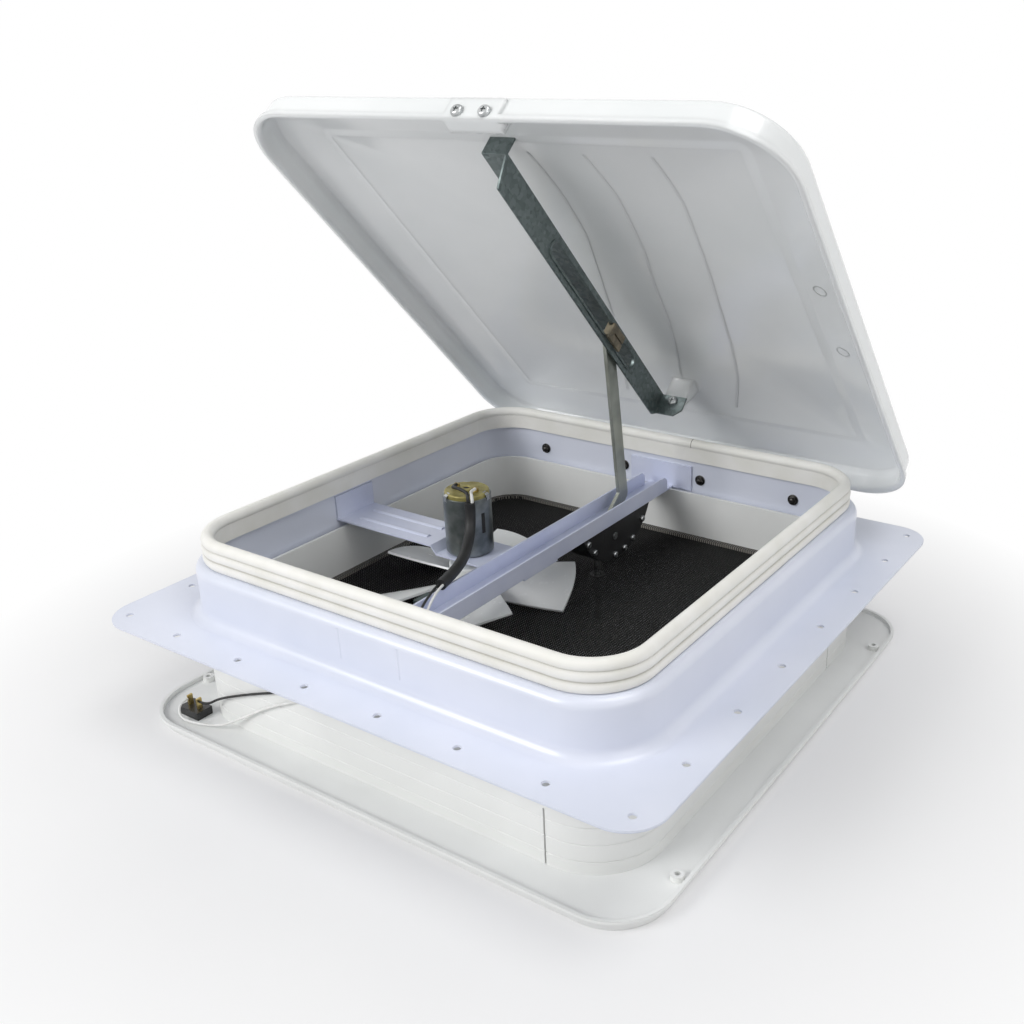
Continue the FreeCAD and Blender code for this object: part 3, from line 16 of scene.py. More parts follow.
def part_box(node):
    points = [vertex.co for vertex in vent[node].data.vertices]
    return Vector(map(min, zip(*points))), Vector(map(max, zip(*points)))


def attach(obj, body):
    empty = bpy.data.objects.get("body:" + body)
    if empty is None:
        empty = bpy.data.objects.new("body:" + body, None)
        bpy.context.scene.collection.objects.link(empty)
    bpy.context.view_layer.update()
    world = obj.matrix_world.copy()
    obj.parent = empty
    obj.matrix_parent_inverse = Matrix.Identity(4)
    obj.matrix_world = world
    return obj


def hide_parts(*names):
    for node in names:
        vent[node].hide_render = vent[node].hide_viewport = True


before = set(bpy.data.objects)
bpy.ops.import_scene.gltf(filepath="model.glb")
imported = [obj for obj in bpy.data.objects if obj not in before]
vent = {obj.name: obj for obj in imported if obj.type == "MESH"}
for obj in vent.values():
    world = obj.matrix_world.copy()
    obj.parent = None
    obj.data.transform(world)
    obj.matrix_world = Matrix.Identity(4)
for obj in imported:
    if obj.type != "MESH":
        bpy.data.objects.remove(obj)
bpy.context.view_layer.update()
scene = bpy.context.scene
MM = 0.001


def put_in_scene(name, data):
    """Makes an object of a mesh, curve, lamp or camera and links it to the scene."""
    made = bpy.data.objects.new(name, data)
    scene.collection.objects.link(made)
    return made


print("nodes loaded:", len(vent))

# %% [markdown]
# ## The camera
# The camera stands where the photographer stood: in front and to the right, a little above the open
# lid. Its place was worked out from the straight edges of the flange and the lid, so a point of the
# model lands on the same point of the picture. The small sideways shift only keeps the object off the
# picture's centre, and nothing is thrown out of focus.

# %% Set up the camera
EYE = (0.4548, -0.6033, 0.3642)  # metres
TILT, ROLL, TURN = 67.412, 0.826, 33.314  # degrees
view = bpy.data.cameras.new("photo_view")
view.lens = 38.864
view.sensor_width = 36.0
view.shift_x = -0.0867
camera = put_in_scene("photo_view", view)
camera.location = EYE
camera.rotation_euler = [math.radians(angle) for angle in (TILT, ROLL, TURN)]
scene.camera = camera
print("camera lens:", view.lens, "mm")

# %% [markdown]
# ## The wires
# Two thin wires leave the switch in the tray, run along the foot of the collar, go up through the gap
# beside its neck and into the black sleeve that comes down from the motor. A wire is limp, so each one
# is a single smooth NURBS line with a round section. A polyline would show every corner, and a Bezier
# line would need handles; here the few points that routed the solid tubes steer the line, and it
# rounds the corners by itself.

# %% A helper for round wires
def wire_line(name, points, diameter):
    """A round wire on a smooth line, steered by points in millimetres."""
    curve = bpy.data.curves.new(name, "CURVE")
    curve.dimensions = "3D"
    curve.bevel_depth = 1.0  # a unit section that each point's radius scales, so the box stays true
    curve.bevel_resolution = 5
    curve.use_fill_caps = True
    line = curve.splines.new("NURBS")
    line.points.add(len(points) - 1)
    for knot, point in zip(line.points, points):
        knot.co = (*[value * MM for value in point], 1.0)
        knot.radius = diameter / 2 * MM
    line.order_u = 3
    line.use_endpoint_u = True
    line.resolution_u = 10
    return put_in_scene(name, curve)


def fix_to(piece, body, slot, *replaced):
    """Lets a finished piece ride on a body and stand for its plain solids, which it hides; the slot is
    not used.
    """
    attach(piece, body)
    if replaced:
        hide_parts(*replaced)


# %% The two switch wires
LEAD = 1.8
black_route = [
    (-171.25, -192.0, -66.667), (-163.0, -192.0, -66.667), (-150.0, -190.0, -57.667),
    (-114.0, -189.4, -42.667), (-84.0, -189.4, -31.7), (-66.0, -189.0, -22.9),
    (-54.0, -181.4, -14.7), (-46.0, -174.15, -2.0), (-40.5, -173.75, 20.0),
    (-24.0, -169.55, 26.5), (-9.0, -168.45, 23.5), (-5.6, -151.37, 19.7),
    (-5.5, -133.37, 21.9), (-8.387, -115.04, 31.92), (-11.157, -103.37, 32.2),
]
white_route = [
    (-182.0, -194.0, -66.667), (-182.0, -201.0, -66.667), (-179.0, -205.0, -73.167),
    (-170.0, -205.5, -75.6), (-145.0, -198.0, -75.5), (-128.0, -189.8, -67.167),
    (-98.0, -189.4, -47.667), (-66.0, -189.4, -32.7), (-54.0, -189.0, -23.7),
    (-45.0, -181.4, -15.2), (-37.5, -174.15, -2.0), (-32.5, -173.75, 19.5),
    (-18.0, -170.25, 21.5), (-5.0, -166.55, 19.3), (1.4, -148.63, 19.1),
    (0.4, -132.63, 21.5), (-5.274, -114.3, 31.92), (-8.043, -102.63, 32.2),
]
black_wire = wire_line("switch_wire_black", black_route, LEAD)
white_wire = wire_line("switch_wire_white", white_route, LEAD)
fix_to(black_wire, "base", "black_vinyl", "lead_black")
fix_to(white_wire, "base", "white_vinyl", "lead_white")
print("wires:", black_wire.name, white_wire.name)

# %% [markdown]
# ## The motor's own leads
# On the motor a black and a white pigtail rise from the two brass tags and dive into a black cloth
# sleeve, which hangs down the side of the can and lies over the lip of the crossbar. They are held at
# both ends, so they are fixed pieces of the vent, but they are drawn with the same smooth line as the
# loose wires.

# %% Sleeve and pigtails
SLEEVE, BLACK_TAIL, WHITE_TAIL = 8.0, 2.6, 2.4
sleeve = wire_line("motor_sleeve", [
    (-38.5, -34.5, 62.4), (-38.5, -34.5, 50.4), (-35.03, -41.0, 39.5), (-28.5, -53.0, 34.2),
    (-20.0, -69.02, 33.0), (-13.5, -86.56, 32.6), (-9.6, -103.0, 32.2),
], SLEEVE)
fix_to(sleeve, "base", "black_vinyl", "motor_lead_sleeve")
black_tail = wire_line("pigtail_black", [
    (-64.0, -18.75, 66.4), (-64.0, -24.75, 66.4), (-55.0, -29.75, 69.5), (-44.0, -30.9, 68.3),
    (-40.0, -34.5, 66.9), (-40.0, -34.5, 62.0),
], BLACK_TAIL)
fix_to(black_tail, "base", "black_vinyl", "motor_lead_black")
white_tail = wire_line("pigtail_white", [
    (-46.0, -18.75, 66.4), (-46.0, -24.75, 66.4), (-37.1, -33.3, 67.9), (-37.1, -33.3, 62.0),
], WHITE_TAIL)
fix_to(white_tail, "base", "white_vinyl", "motor_lead_white")
print("motor leads:", sleeve.name, black_tail.name, white_tail.name)

# %% [markdown]
# ## Finishes from nodes
# Every surface of the vent gets a finish built from shader nodes. A real moulding is never one flat
# colour: it drifts a little from place to place, its gloss is uneven and its edges are soft. One
# helper makes that kind of surface from two close colours, a size for the drift and a size for the
# grain. Object coordinates are in metres here, so a pattern keeps its true size on every piece. A
# painted image could do the same, but it would have to be unwrapped on each piece and would blur
# close up.

# %% Helpers for finishes
MM_PER_METRE = 1000.0
NOISE_LOW, NOISE_HIGH = 0.3, 0.7  # nearly all values of a noise pattern lie between these
NOOK_SHUT, NOOK_OPEN = 0.62, 0.94  # how open a spot is where painted shade and dust cover it fully, and where they are gone


def tone(red, green, blue):
    """A screen colour, 0 to 255, turned by the sRGB rule into the light values of a shader."""
    parts = []
    for value in (red, green, blue):
        share = value / 255
        parts.append(share / 12.92 if share <= 0.04045 else ((share + 0.055) / 1.055) ** 2.4)
    return (*parts, 1.0)


class Finish:
    """A node material while it is being put together."""

    def __init__(self, name):
        self.material = bpy.data.materials.new(name)
        self.material.use_nodes = True
        self.nodes = self.material.node_tree.nodes
        self.links = self.material.node_tree.links
        self.shader = self.nodes["Principled BSDF"]
        self.place = self.nodes.new("ShaderNodeTexCoord").outputs["Object"]

    def noise(self, size, detail=3.0, stretch=(1.0, 1.0, 1.0)):
        """Cloudy noise with patches of about a size in millimetres."""
        lay = self.nodes.new("ShaderNodeMapping")
        lay.inputs["Scale"].default_value = stretch
        self.links.new(self.place, lay.inputs["Vector"])
        cloud = self.nodes.new("ShaderNodeTexNoise")
        cloud.inputs["Scale"].default_value = MM_PER_METRE / size
        cloud.inputs["Detail"].default_value = detail
        self.links.new(lay.outputs["Vector"], cloud.inputs["Vector"])
        return cloud.outputs["Fac"]

    def colour(self, pattern, dark, light, start=0.35, end=0.65):
        """Colours the surface between two tones along a pattern."""
        ramp = self.nodes.new("ShaderNodeValToRGB")
        low, high = ramp.color_ramp.elements
        low.position, low.color = start, dark
        high.position, high.color = end, light
        self.links.new(pattern, ramp.inputs["Fac"])
        self.links.new(ramp.outputs["Color"], self.shader.inputs["Base Color"])

    def nook_shade_and_dust(self, dust_and_shade, reach):
        """Paints shade and dust into grooves: a darker colour over the plain one where an AO node finds
        nooks within a reach in millimetres.
        """
        nook = self.nodes.new("ShaderNodeAmbientOcclusion")
        nook.samples = 8
        nook.only_local = True
        nook.inputs["Distance"].default_value = reach * MM
        unshaded = self.nodes.new("ShaderNodeMapRange")
        unshaded.inputs["From Min"].default_value = NOOK_SHUT
        unshaded.inputs["From Max"].default_value = NOOK_OPEN
        self.links.new(nook.outputs["AO"], unshaded.inputs["Value"])
        blend = self.nodes.new("ShaderNodeMix")
        blend.data_type = "RGBA"
        ends = {socket.identifier: socket for socket in (*blend.inputs, *blend.outputs)}
        ends["A_Color"].default_value = dust_and_shade
        # painted shade and dust: the AO mask lays the darker colour into grooves and nooks
        unshaded_colour = self.shader.inputs["Base Color"].links[0].from_socket
        self.links.new(unshaded.outputs["Result"], ends["Factor_Float"])
        self.links.new(unshaded_colour, ends["B_Color"])
        self.links.new(ends["Result_Color"], self.shader.inputs["Base Color"])

    def gloss(self, pattern, low, high):
        """Lets the roughness run between two values along a pattern."""
        spread = self.nodes.new("ShaderNodeMapRange")
        spread.inputs["From Min"].default_value = NOISE_LOW
        spread.inputs["From Max"].default_value = NOISE_HIGH
        spread.inputs["To Min"].default_value = low
        spread.inputs["To Max"].default_value = high
        self.links.new(pattern, spread.inputs["Value"])
        self.links.new(spread.outputs["Result"], self.shader.inputs["Roughness"])

    def relief(self, pattern, depth, strength=0.5, edge=0.0):
        """Raises the surface along a pattern and rounds its sharp edges, both in millimetres."""
        bump = self.nodes.new("ShaderNodeBump")
        bump.inputs["Strength"].default_value = strength
        bump.inputs["Distance"].default_value = depth * MM
        self.links.new(pattern, bump.inputs["Height"])
        if edge:
            soft = self.nodes.new("ShaderNodeBevel")
            soft.inputs["Radius"].default_value = edge * MM
            self.links.new(soft.outputs["Normal"], bump.inputs["Normal"])
        self.links.new(bump.outputs["Normal"], self.shader.inputs["Normal"])

    def set(self, **sockets):
        """Sets plain values on the shader, such as Metallic=1.0 or Coat_Weight=0.2."""
        for name, value in sockets.items():
            self.shader.inputs[name.replace("_", " ")].default_value = value


def plain_finish(name, dark, light, *, drift, grain, gloss, depth, edge=0.0,
                 stretch=(1.0, 1.0, 1.0), nook_shade_and_dust=None, **sockets):
    """A moulded, painted or plated surface: drifting colour, uneven gloss, grain and soft edges."""
    made = Finish(name)
    made.colour(made.noise(drift), dark, light)
    if nook_shade_and_dust:
        made.nook_shade_and_dust(*nook_shade_and_dust)
    fine = made.noise(grain, detail=4.0, stretch=stretch)
    made.gloss(fine, *gloss)
    made.relief(fine, depth, edge=edge)
    made.set(**sockets)
    return made.material


def dress(material, *names):
    """Gives CAD nodes or new pieces a finish."""
    for name in names:
        piece = vent[name] if name in vent else bpy.data.objects[name]
        piece.data.materials.clear()
        piece.data.materials.append(material)


print("finish helpers ready")

# %% [markdown]
# ## Painted sheet metal
# The flange, the crossbar, the motor bracket and the hinge leaves are pressed steel with a cool white
# paint, slightly lilac in the shade. Sprayed paint has a faint orange peel: shallow dimples a few
# millimetres wide. That is a bump from noise, kept very shallow, because a deep one would look like
# hammered metal.

# %% Paint
sheet_paint = plain_finish(
    "sheet_paint", tone(216, 221, 235), tone(222, 226, 239), drift=70, grain=6.0,
    gloss=(0.28, 0.32), depth=0.004, edge=0.8, Coat_Weight=0.25, Coat_Roughness=0.2)
dress(sheet_paint, "roof_flange")
# painted shade: the crossbar and the motor bracket take a darker, bluer copy of the sheet paint, for
# their place down in the throat
shaded_bar_paint = plain_finish(
    "shaded_bar_paint", tone(203, 209, 232), tone(214, 219, 238), drift=40, grain=6.0,
    gloss=(0.28, 0.33), depth=0.003, edge=0.6, Coat_Weight=0.25, Coat_Roughness=0.2)
dress(shaded_bar_paint, "crossbar", "motor_bracket")
hinge_paint = plain_finish(
    "hinge_paint", tone(205, 210, 226), tone(222, 226, 240), drift=25, grain=3.0,
    gloss=(0.3, 0.45), depth=0.006, edge=0.4)
dress(hinge_paint, "hinge_base_left", "hinge_base_right", "hinge_leaf_left", "hinge_leaf_right")
print("painted:", sheet_paint.name, shaded_bar_paint.name, hinge_paint.name)

# %% [markdown]
# ## Lid, tray and fan
# The lid is a glossy white moulding, the tray inside the roof a plainer satin white one, and the fan
# and the crank knob come from the same kind of plastic. Gloss tells them apart: the lid mirrors the
# room in a soft way, so its roughness is low, while the tray has a fine spark-eroded grain that
# spreads the light. The lid's soft edges are wide, because the real lid has no hard line where its
# panel turns into the sloping border. A little subsurface light lets the thin white shell glow.

# %% White mouldings
lid_white = plain_finish(
    "lid_white", tone(230, 233, 233), tone(238, 240, 240), drift=120, grain=14,
    gloss=(0.13, 0.2), depth=0.06, edge=5.0, Coat_Weight=0.4, Coat_Roughness=0.08,
    Subsurface_Weight=0.4, Subsurface_Radius=(1.0, 1.0, 1.0), Subsurface_Scale=0.004)
dress(lid_white, "lid")
tray_white = plain_finish(
    "tray_white", tone(232, 233, 231), tone(239, 240, 238), drift=90, grain=1.2,
    gloss=(0.42, 0.55), depth=0.02, edge=0.6)
dress(tray_white, "interior_garnish")
fan_white = plain_finish(
    "fan_white", tone(238, 240, 239), tone(244, 245, 244), drift=50, grain=6,
    gloss=(0.22, 0.28), depth=0.003, edge=0.5)
dress(fan_white, "fan")
knob_white = plain_finish(
    "knob_white", tone(222, 222, 217), tone(234, 233, 228), drift=20, grain=0.8,
    gloss=(0.4, 0.55), depth=0.03, edge=0.6)
dress(knob_white, "crank_knob")
print("white mouldings:", lid_white.name, tray_white.name, fan_white.name, knob_white.name)

# %% [markdown]
# ## Seal
# The seal is a soft cream rubber section pushed over the rim. Rubber is matt, a little yellow beside
# the paint, and picks up dust, so its colour drifts more than the paint's and its grain is fine. The
# grooves between its beads are darkened with painted shade and dust: an Ambient Occlusion node with a
# reach of a few millimetres finds just those. Where the seal's two ends meet on the rear run, a thin
# dark line crosses it.

# %% Rubber and its joint
# painted shade and dust for the grooves between the seal's beads
GROOVE_SHADE_AND_DUST, GROOVE_REACH = tone(120, 112, 92), 4.0
seal_rubber = plain_finish(
    "seal_rubber", tone(233, 232, 225), tone(241, 240, 236), drift=30, grain=1.5,
    gloss=(0.5, 0.68), depth=0.02, nook_shade_and_dust=(GROOVE_SHADE_AND_DUST, GROOVE_REACH), Sheen_Weight=0.15)
dress(seal_rubber, "lid_seal")
joint_dirt = plain_finish(
    "joint_dirt", tone(70, 66, 58), tone(120, 114, 102), drift=3, grain=0.6,
    gloss=(0.7, 0.9), depth=0.02)


def band(name, row_from, row_to):
    """A narrow strip between two rows of points in millimetres."""
    mesh = bpy.data.meshes.new(name)
    corners = [Vector(point) * MM for row in (row_from, row_to) for point in row]
    steps = len(row_from)
    faces = [(n, n + 1, steps + n + 1, steps + n) for n in range(steps - 1)]
    mesh.from_pydata(corners, [], faces)
    return put_in_scene(name, mesh)


JOINT_X, JOINT_HALF = 30.0, 0.25
CROWN_Y, CROWN_Z, CROWN_ROUND = 177.25, 56.75, 4.4
CROWN_FROM, CROWN_SWEEP, CROWN_STEPS = -35, 250, 24  # the arc of the crown, in degrees
over_crown = []
for x in (JOINT_X - JOINT_HALF, JOINT_X + JOINT_HALF):
    row = []
    for n in range(CROWN_STEPS + 1):
        turn = math.radians(CROWN_FROM + CROWN_SWEEP * n / CROWN_STEPS)
        row.append((x, CROWN_Y + CROWN_ROUND * math.cos(turn),
                    CROWN_Z + CROWN_ROUND * math.sin(turn)))
    over_crown.append(row)
seal_joint = band("seal_joint", *over_crown)
fix_to(seal_joint, "base", "seal_rubber")
dress(joint_dirt, "seal_joint")
print("rubber:", seal_rubber.name)

# %% [markdown]
# ## Galvanised channel and lift arm
# Hot zinc freezes on steel in flat crystals, the spangle. A Voronoi pattern gives one random shade for
# each cell, which is just how the crystals look: each one mirrors another part of the room. The lift
# arm is plain rolled strip instead, so its noise is stretched into long streaks.

# %% Zinc and strip
CRYSTAL = 3.0
zinc = Finish("zinc_spangle")
crystals = zinc.nodes.new("ShaderNodeTexVoronoi")
crystals.inputs["Scale"].default_value = MM_PER_METRE / CRYSTAL
zinc.links.new(zinc.place, crystals.inputs["Vector"])
shade = zinc.nodes.new("ShaderNodeSeparateColor")
zinc.links.new(crystals.outputs["Color"], shade.inputs["Color"])
zinc.colour(shade.outputs["Red"], tone(104, 114, 114), tone(128, 138, 137), start=0.0, end=1.0)
zinc.gloss(shade.outputs["Green"], low=0.34, high=0.5)
zinc.relief(zinc.noise(size=2.0, detail=5.0), depth=0.05, edge=0.4)
zinc.set(Metallic=0.9)
dress(zinc.material, "lid_channel")
strip_steel = plain_finish(
    "strip_steel", tone(146, 149, 141), tone(178, 181, 172), drift=30, grain=1.2,
    gloss=(0.28, 0.46), depth=0.03, edge=0.4, stretch=(1.0, 1.0, 0.06), Metallic=0.9)
dress(strip_steel, "lift_arm")
print("metals:", zinc.material.name, strip_steel.name)

# %% [markdown]
# ## Motor and small metal
# The motor can is drawn steel with a dull plating, streaked round and round by the press. Its end cap
# is an olive-coloured moulding, the tags are brass, and the screws, pins and shafts are bright plated
# steel.

# %% Motor and hardware metals
can_steel = plain_finish(
    "can_steel", tone(112, 118, 118), tone(150, 155, 154), drift=14, grain=2.0,
    gloss=(0.28, 0.42), depth=0.03, edge=0.6, stretch=(1.0, 1.0, 6.0), Metallic=0.9)
dress(can_steel, "motor_can")
cap_olive = plain_finish(
    "cap_olive", tone(136, 127, 72), tone(172, 162, 102), drift=8, grain=1.2,
    gloss=(0.35, 0.5), depth=0.05, edge=0.4, Metallic=0.35)
dress(cap_olive, "motor_end_cap")
tag_brass = plain_finish(
    "tag_brass", tone(176, 152, 92), tone(206, 186, 128), drift=5, grain=0.8,
    gloss=(0.25, 0.4), depth=0.02, edge=0.2, Metallic=1.0)
dress(tag_brass, "motor_terminals", "switch_terminals")
bright_steel = plain_finish(
    "bright_steel", tone(160, 163, 164), tone(198, 200, 200), drift=9, grain=0.9,
    gloss=(0.22, 0.4), depth=0.02, edge=0.25, Metallic=1.0)
dress(bright_steel, "motor_shaft", "fan_clip", "lid_front_screws", "lid_foot_screw",
      "gearbox_screws", "hinge_rivets", "worm_wheel", "crank_shaft", "shoe_pin", "hinge_pins")
print("motor and hardware:", can_steel.name, cap_olive.name, tag_brass.name, bright_steel.name)

# %% [markdown]
# ## Dark plastics, vinyl and black bolts
# Black is never quite black: a moulded gearbox is a deep grey that shines on its edges, vinyl wire
# is darker still, and the oxide on the bolts is a warm dark metal. Each gets its own pair of dark
# tones, and so do the tan shoe and the green plug.

# %% Dark finishes
gear_black = plain_finish(
    "gear_black", tone(18, 18, 19), tone(30, 30, 31), drift=12, grain=1.0,
    gloss=(0.4, 0.58), depth=0.04, edge=0.5)
dress(gear_black, "gearbox_housing", "gearbox_cover")
switch_black = plain_finish(
    "switch_black", tone(24, 24, 25), tone(40, 40, 41), drift=8, grain=0.8,
    gloss=(0.25, 0.4), depth=0.02, edge=0.3)
dress(switch_black, "switch_body", "switch_rocker")
bolt_black = plain_finish(
    "bolt_black", tone(40, 39, 38), tone(78, 76, 74), drift=4, grain=0.7,
    gloss=(0.22, 0.36), depth=0.03, edge=0.15, Metallic=0.85)
dress(bolt_black, "hinge_bolts")
shoe_tan = plain_finish(
    "shoe_tan", tone(96, 88, 72), tone(132, 122, 102), drift=6, grain=0.8,
    gloss=(0.38, 0.55), depth=0.04, edge=0.4)
dress(shoe_tan, "slide_shoe")
plug_green = plain_finish(
    "plug_green", tone(28, 44, 44), tone(50, 70, 68), drift=6, grain=0.9,
    gloss=(0.35, 0.5), depth=0.03, edge=0.5)
dress(plug_green, "lead_connector")
black_vinyl = plain_finish(
    "black_vinyl", tone(13, 13, 14), tone(24, 24, 25), drift=10, grain=0.7,
    gloss=(0.45, 0.62), depth=0.08)
dress(black_vinyl, "switch_wire_black", "motor_sleeve", "pigtail_black", "motor_lead_sleeve",
      "motor_lead_black", "lead_black")
white_vinyl = plain_finish(
    "white_vinyl", tone(226, 226, 223), tone(240, 240, 238), drift=10, grain=0.7,
    gloss=(0.35, 0.5), depth=0.03)
dress(white_vinyl, "switch_wire_white", "pigtail_white", "motor_lead_white", "lead_white")
print("dark finishes:", gear_black.name, switch_black.name, bolt_black.name, black_vinyl.name)

# %% [markdown]
# ## Insect screen
# The screen is a woven mesh of black coated threads, far finer than the coarse net in the solid model.
# One thread is a thin four-sided bar, and about 160 of them each way, at two heights, make the weave.
# They end on the round corners of the collar, and stop short of the crank's shaft, which passes
# through a small grommet. A transparent image on a plane would be quicker, but it has no depth and no
# glints of its own.

# %% Weave the screen
SCREEN_HALF = 168.6
SCREEN_CORNER_CENTRE = 140.0
SCREEN_LEVEL = -25.3
THREAD_PITCH = 2.1
THREAD = 1.1
THREAD_LIFT = 0.14  # how far the threads of one way lie above the middle, and the others below it
SHAFT_AT = (5.2, 65.4)
GROMMET_HOLE = 5.6


def thread_reach(offset):
    """How far a thread goes to the screen's edge, for its distance from the middle."""
    past = abs(offset) - SCREEN_CORNER_CENTRE
    if past <= 0:
        return SCREEN_HALF
    round_edge = SCREEN_HALF - SCREEN_CORNER_CENTRE
    return SCREEN_CORNER_CENTRE + math.sqrt(max(round_edge ** 2 - past ** 2, 0.0))


def thread_spans(offset, hole_along, hole_across):
    """The stretches of one thread, broken where the grommet is."""
    reach = thread_reach(offset)
    off_hole = abs(offset - hole_across)
    if off_hole >= GROMMET_HOLE:
        return [(-reach, reach)]
    gap = math.sqrt(GROMMET_HOLE ** 2 - off_hole ** 2)
    return [(-reach, hole_along - gap), (hole_along + gap, reach)]


def weave():
    """Vertices and faces of all the threads, in metres."""
    corners, faces = [], []
    count = int(SCREEN_HALF / THREAD_PITCH)
    half = THREAD / 2
    section = ((half, 0.0), (0.0, half), (-half, 0.0), (0.0, -half))
    sides = len(section)
    for step in range(-count, count + 1):
        offset = step * THREAD_PITCH
        for lengthways in (True, False):
            hole_along, hole_across = SHAFT_AT[::-1] if lengthways else SHAFT_AT
            level = SCREEN_LEVEL + (THREAD_LIFT if lengthways else -THREAD_LIFT)
            for span in thread_spans(offset, hole_along, hole_across):
                first = len(corners)
                for along in span:
                    for side, rise in section:
                        x, y = (offset + side, along) if lengthways else (along, offset + side)
                        corners.append((x * MM, y * MM, (level + rise) * MM))
                for n in range(sides):
                    near, far = first + n, first + (n + 1) % sides
                    faces.append((near, far, far + sides, near + sides))
    return corners, faces


thread_corners, thread_faces = weave()
screen_mesh = bpy.data.meshes.new("woven_screen")
screen_mesh.from_pydata(thread_corners, [], thread_faces)
screen = put_in_scene("woven_screen", screen_mesh)
fix_to(screen, "base", "screen_mesh", "insect_screen")
thread_coat = plain_finish(
    "thread_coat", tone(5, 5, 5), tone(15, 14, 13), drift=9, grain=1.6,
    gloss=(0.4, 0.6), depth=0.03, Specular_IOR_Level=0.3)
dress(thread_coat, "woven_screen", "insect_screen")
print("screen thread faces:", len(thread_faces))

# %% [markdown]
# ## Turned and gathered pieces
# Screw heads, nuts, grommets and rings are all turned parts: an outline spun about an axis, like a
# part on a lathe. With six steps the same helper makes a hexagon. Several turned meshes can be
# gathered into one piece, each with its own place and direction, so that a row of screws stays one
# object.

# %% Lathe helpers
CREASE = 35  # degrees; edges that are sharper than this stay sharp


def ringed_mesh(name, rings, hollow=False):
    """Joins rings of points, in millimetres, into a tube: a solid with flat ends, or a hollow ring."""
    shape = bmesh.new()
    rows = [[shape.verts.new([value * MM for value in point]) for point in ring] for ring in rings]
    steps = len(rows[0])
    if hollow:
        rows.append(rows[0])
    else:
        shape.faces.new(list(reversed(rows[0])))
        shape.faces.new(rows[-1])
    for low, high in zip(rows, rows[1:]):
        for n in range(steps):
            after = (n + 1) % steps
            shape.faces.new((low[n], low[after], high[after], high[n]))
    mesh = bpy.data.meshes.new(name)
    shape.to_mesh(mesh)
    shape.free()
    return mesh


def turned_mesh(name, outline, steps=40):
    """Spins an outline of (radius, height) pairs, in millimetres, about the Z axis.

    An outline that comes back to its start makes a ring with an open hole.
    """
    hollow = outline[0] == outline[-1]
    turns = [2 * math.pi * n / steps for n in range(steps)]
    rings = []
    for radius, height in outline[:-1] if hollow else outline:
        rings.append([(radius * math.cos(turn), radius * math.sin(turn), height) for turn in turns])
    return ringed_mesh(name, rings, hollow)


def placed(centre, way=(0.0, 0.0, 1.0)):
    """A place in millimetres and the direction that a turned part's axis takes there."""
    stand = Vector((0.0, 0.0, 1.0)).rotation_difference(Vector(way)).to_matrix().to_4x4()
    return Matrix.Translation(Vector(centre) * MM) @ stand


def gather(name, *copies):
    """Joins placed copies of meshes into one piece, smooth except at its creases."""
    shape = bmesh.new()
    for mesh, place in copies:
        before = len(shape.verts)
        shape.from_mesh(mesh)
        shape.verts.ensure_lookup_table()
        bmesh.ops.transform(shape, matrix=place, verts=shape.verts[before:])
    bmesh.ops.recalc_face_normals(shape, faces=shape.faces)
    whole = bpy.data.meshes.new(name)
    shape.to_mesh(whole)
    shape.free()
    piece = put_in_scene(name, whole)
    with bpy.context.temp_override(object=piece, selected_editable_objects=[piece]):
        bpy.ops.object.shade_smooth_by_angle(angle=math.radians(CREASE))
    return piece


def ring_outline(inner, outer, height):
    """The outline of a flat ring with eased edges."""
    ease = min(height / 3, (outer - inner) / 4)
    return [(inner, 0), (outer, 0), (outer, height - ease), (outer - ease, height),
            (inner + ease, height), (inner, height - ease), (inner, 0)]


print("lathe helpers ready")

# %% Grommet
GROMMET_HEIGHT = 1.6
grommet_mesh = turned_mesh("grommet", ring_outline(inner=3.0, outer=6.4, height=GROMMET_HEIGHT))
grommet = gather("shaft_grommet",
                 (grommet_mesh, placed((*SHAFT_AT, SCREEN_LEVEL - GROMMET_HEIGHT / 2))))
fix_to(grommet, "base", "gear_black")
dress(gear_black, "shaft_grommet")
print("turned:", grommet.name)

# %% [markdown]
# ## Worm
# At the top of the crank's shaft sits the worm that turns the wheel on the lift arm. On the real part
# it is cut on a lathe: a single thread that climbs one tooth of the wheel in each turn. Here a fine
# cylinder gets a wavy radius that climbs with the angle, and its two ends are eased so that the arm's
# heel passes over them.

# %% Cut the worm's thread
WORM_LOW, WORM_HIGH = -5.5, 12.5
WORM_CREST, WORM_ROOT = 6.0, 5.1
WORM_END = WORM_ROOT - 0.6
WHEEL_RADIUS, WHEEL_TEETH = 10.2, 24
CLIMB_PER_TURN = 2 * math.pi * WHEEL_RADIUS / WHEEL_TEETH
CREST_RISE, FLANK_SLOPE = 2.2, 6.0  # a wave that is cut off at 0 and 1 gives flat roots and crests
WORM_STEPS, WORM_ROWS = 32, 60


def worm_radius(height, turn_share):
    """The worm's radius at a height and at a share of a turn."""
    climb = (height / CLIMB_PER_TURN - turn_share) % 1.0
    crest = min(1.0, max(0.0, CREST_RISE - abs(climb - 0.5) * FLANK_SLOPE))
    to_end = min(height - WORM_LOW, WORM_HIGH - height)
    return min(WORM_ROOT + (WORM_CREST - WORM_ROOT) * crest, WORM_END + to_end)


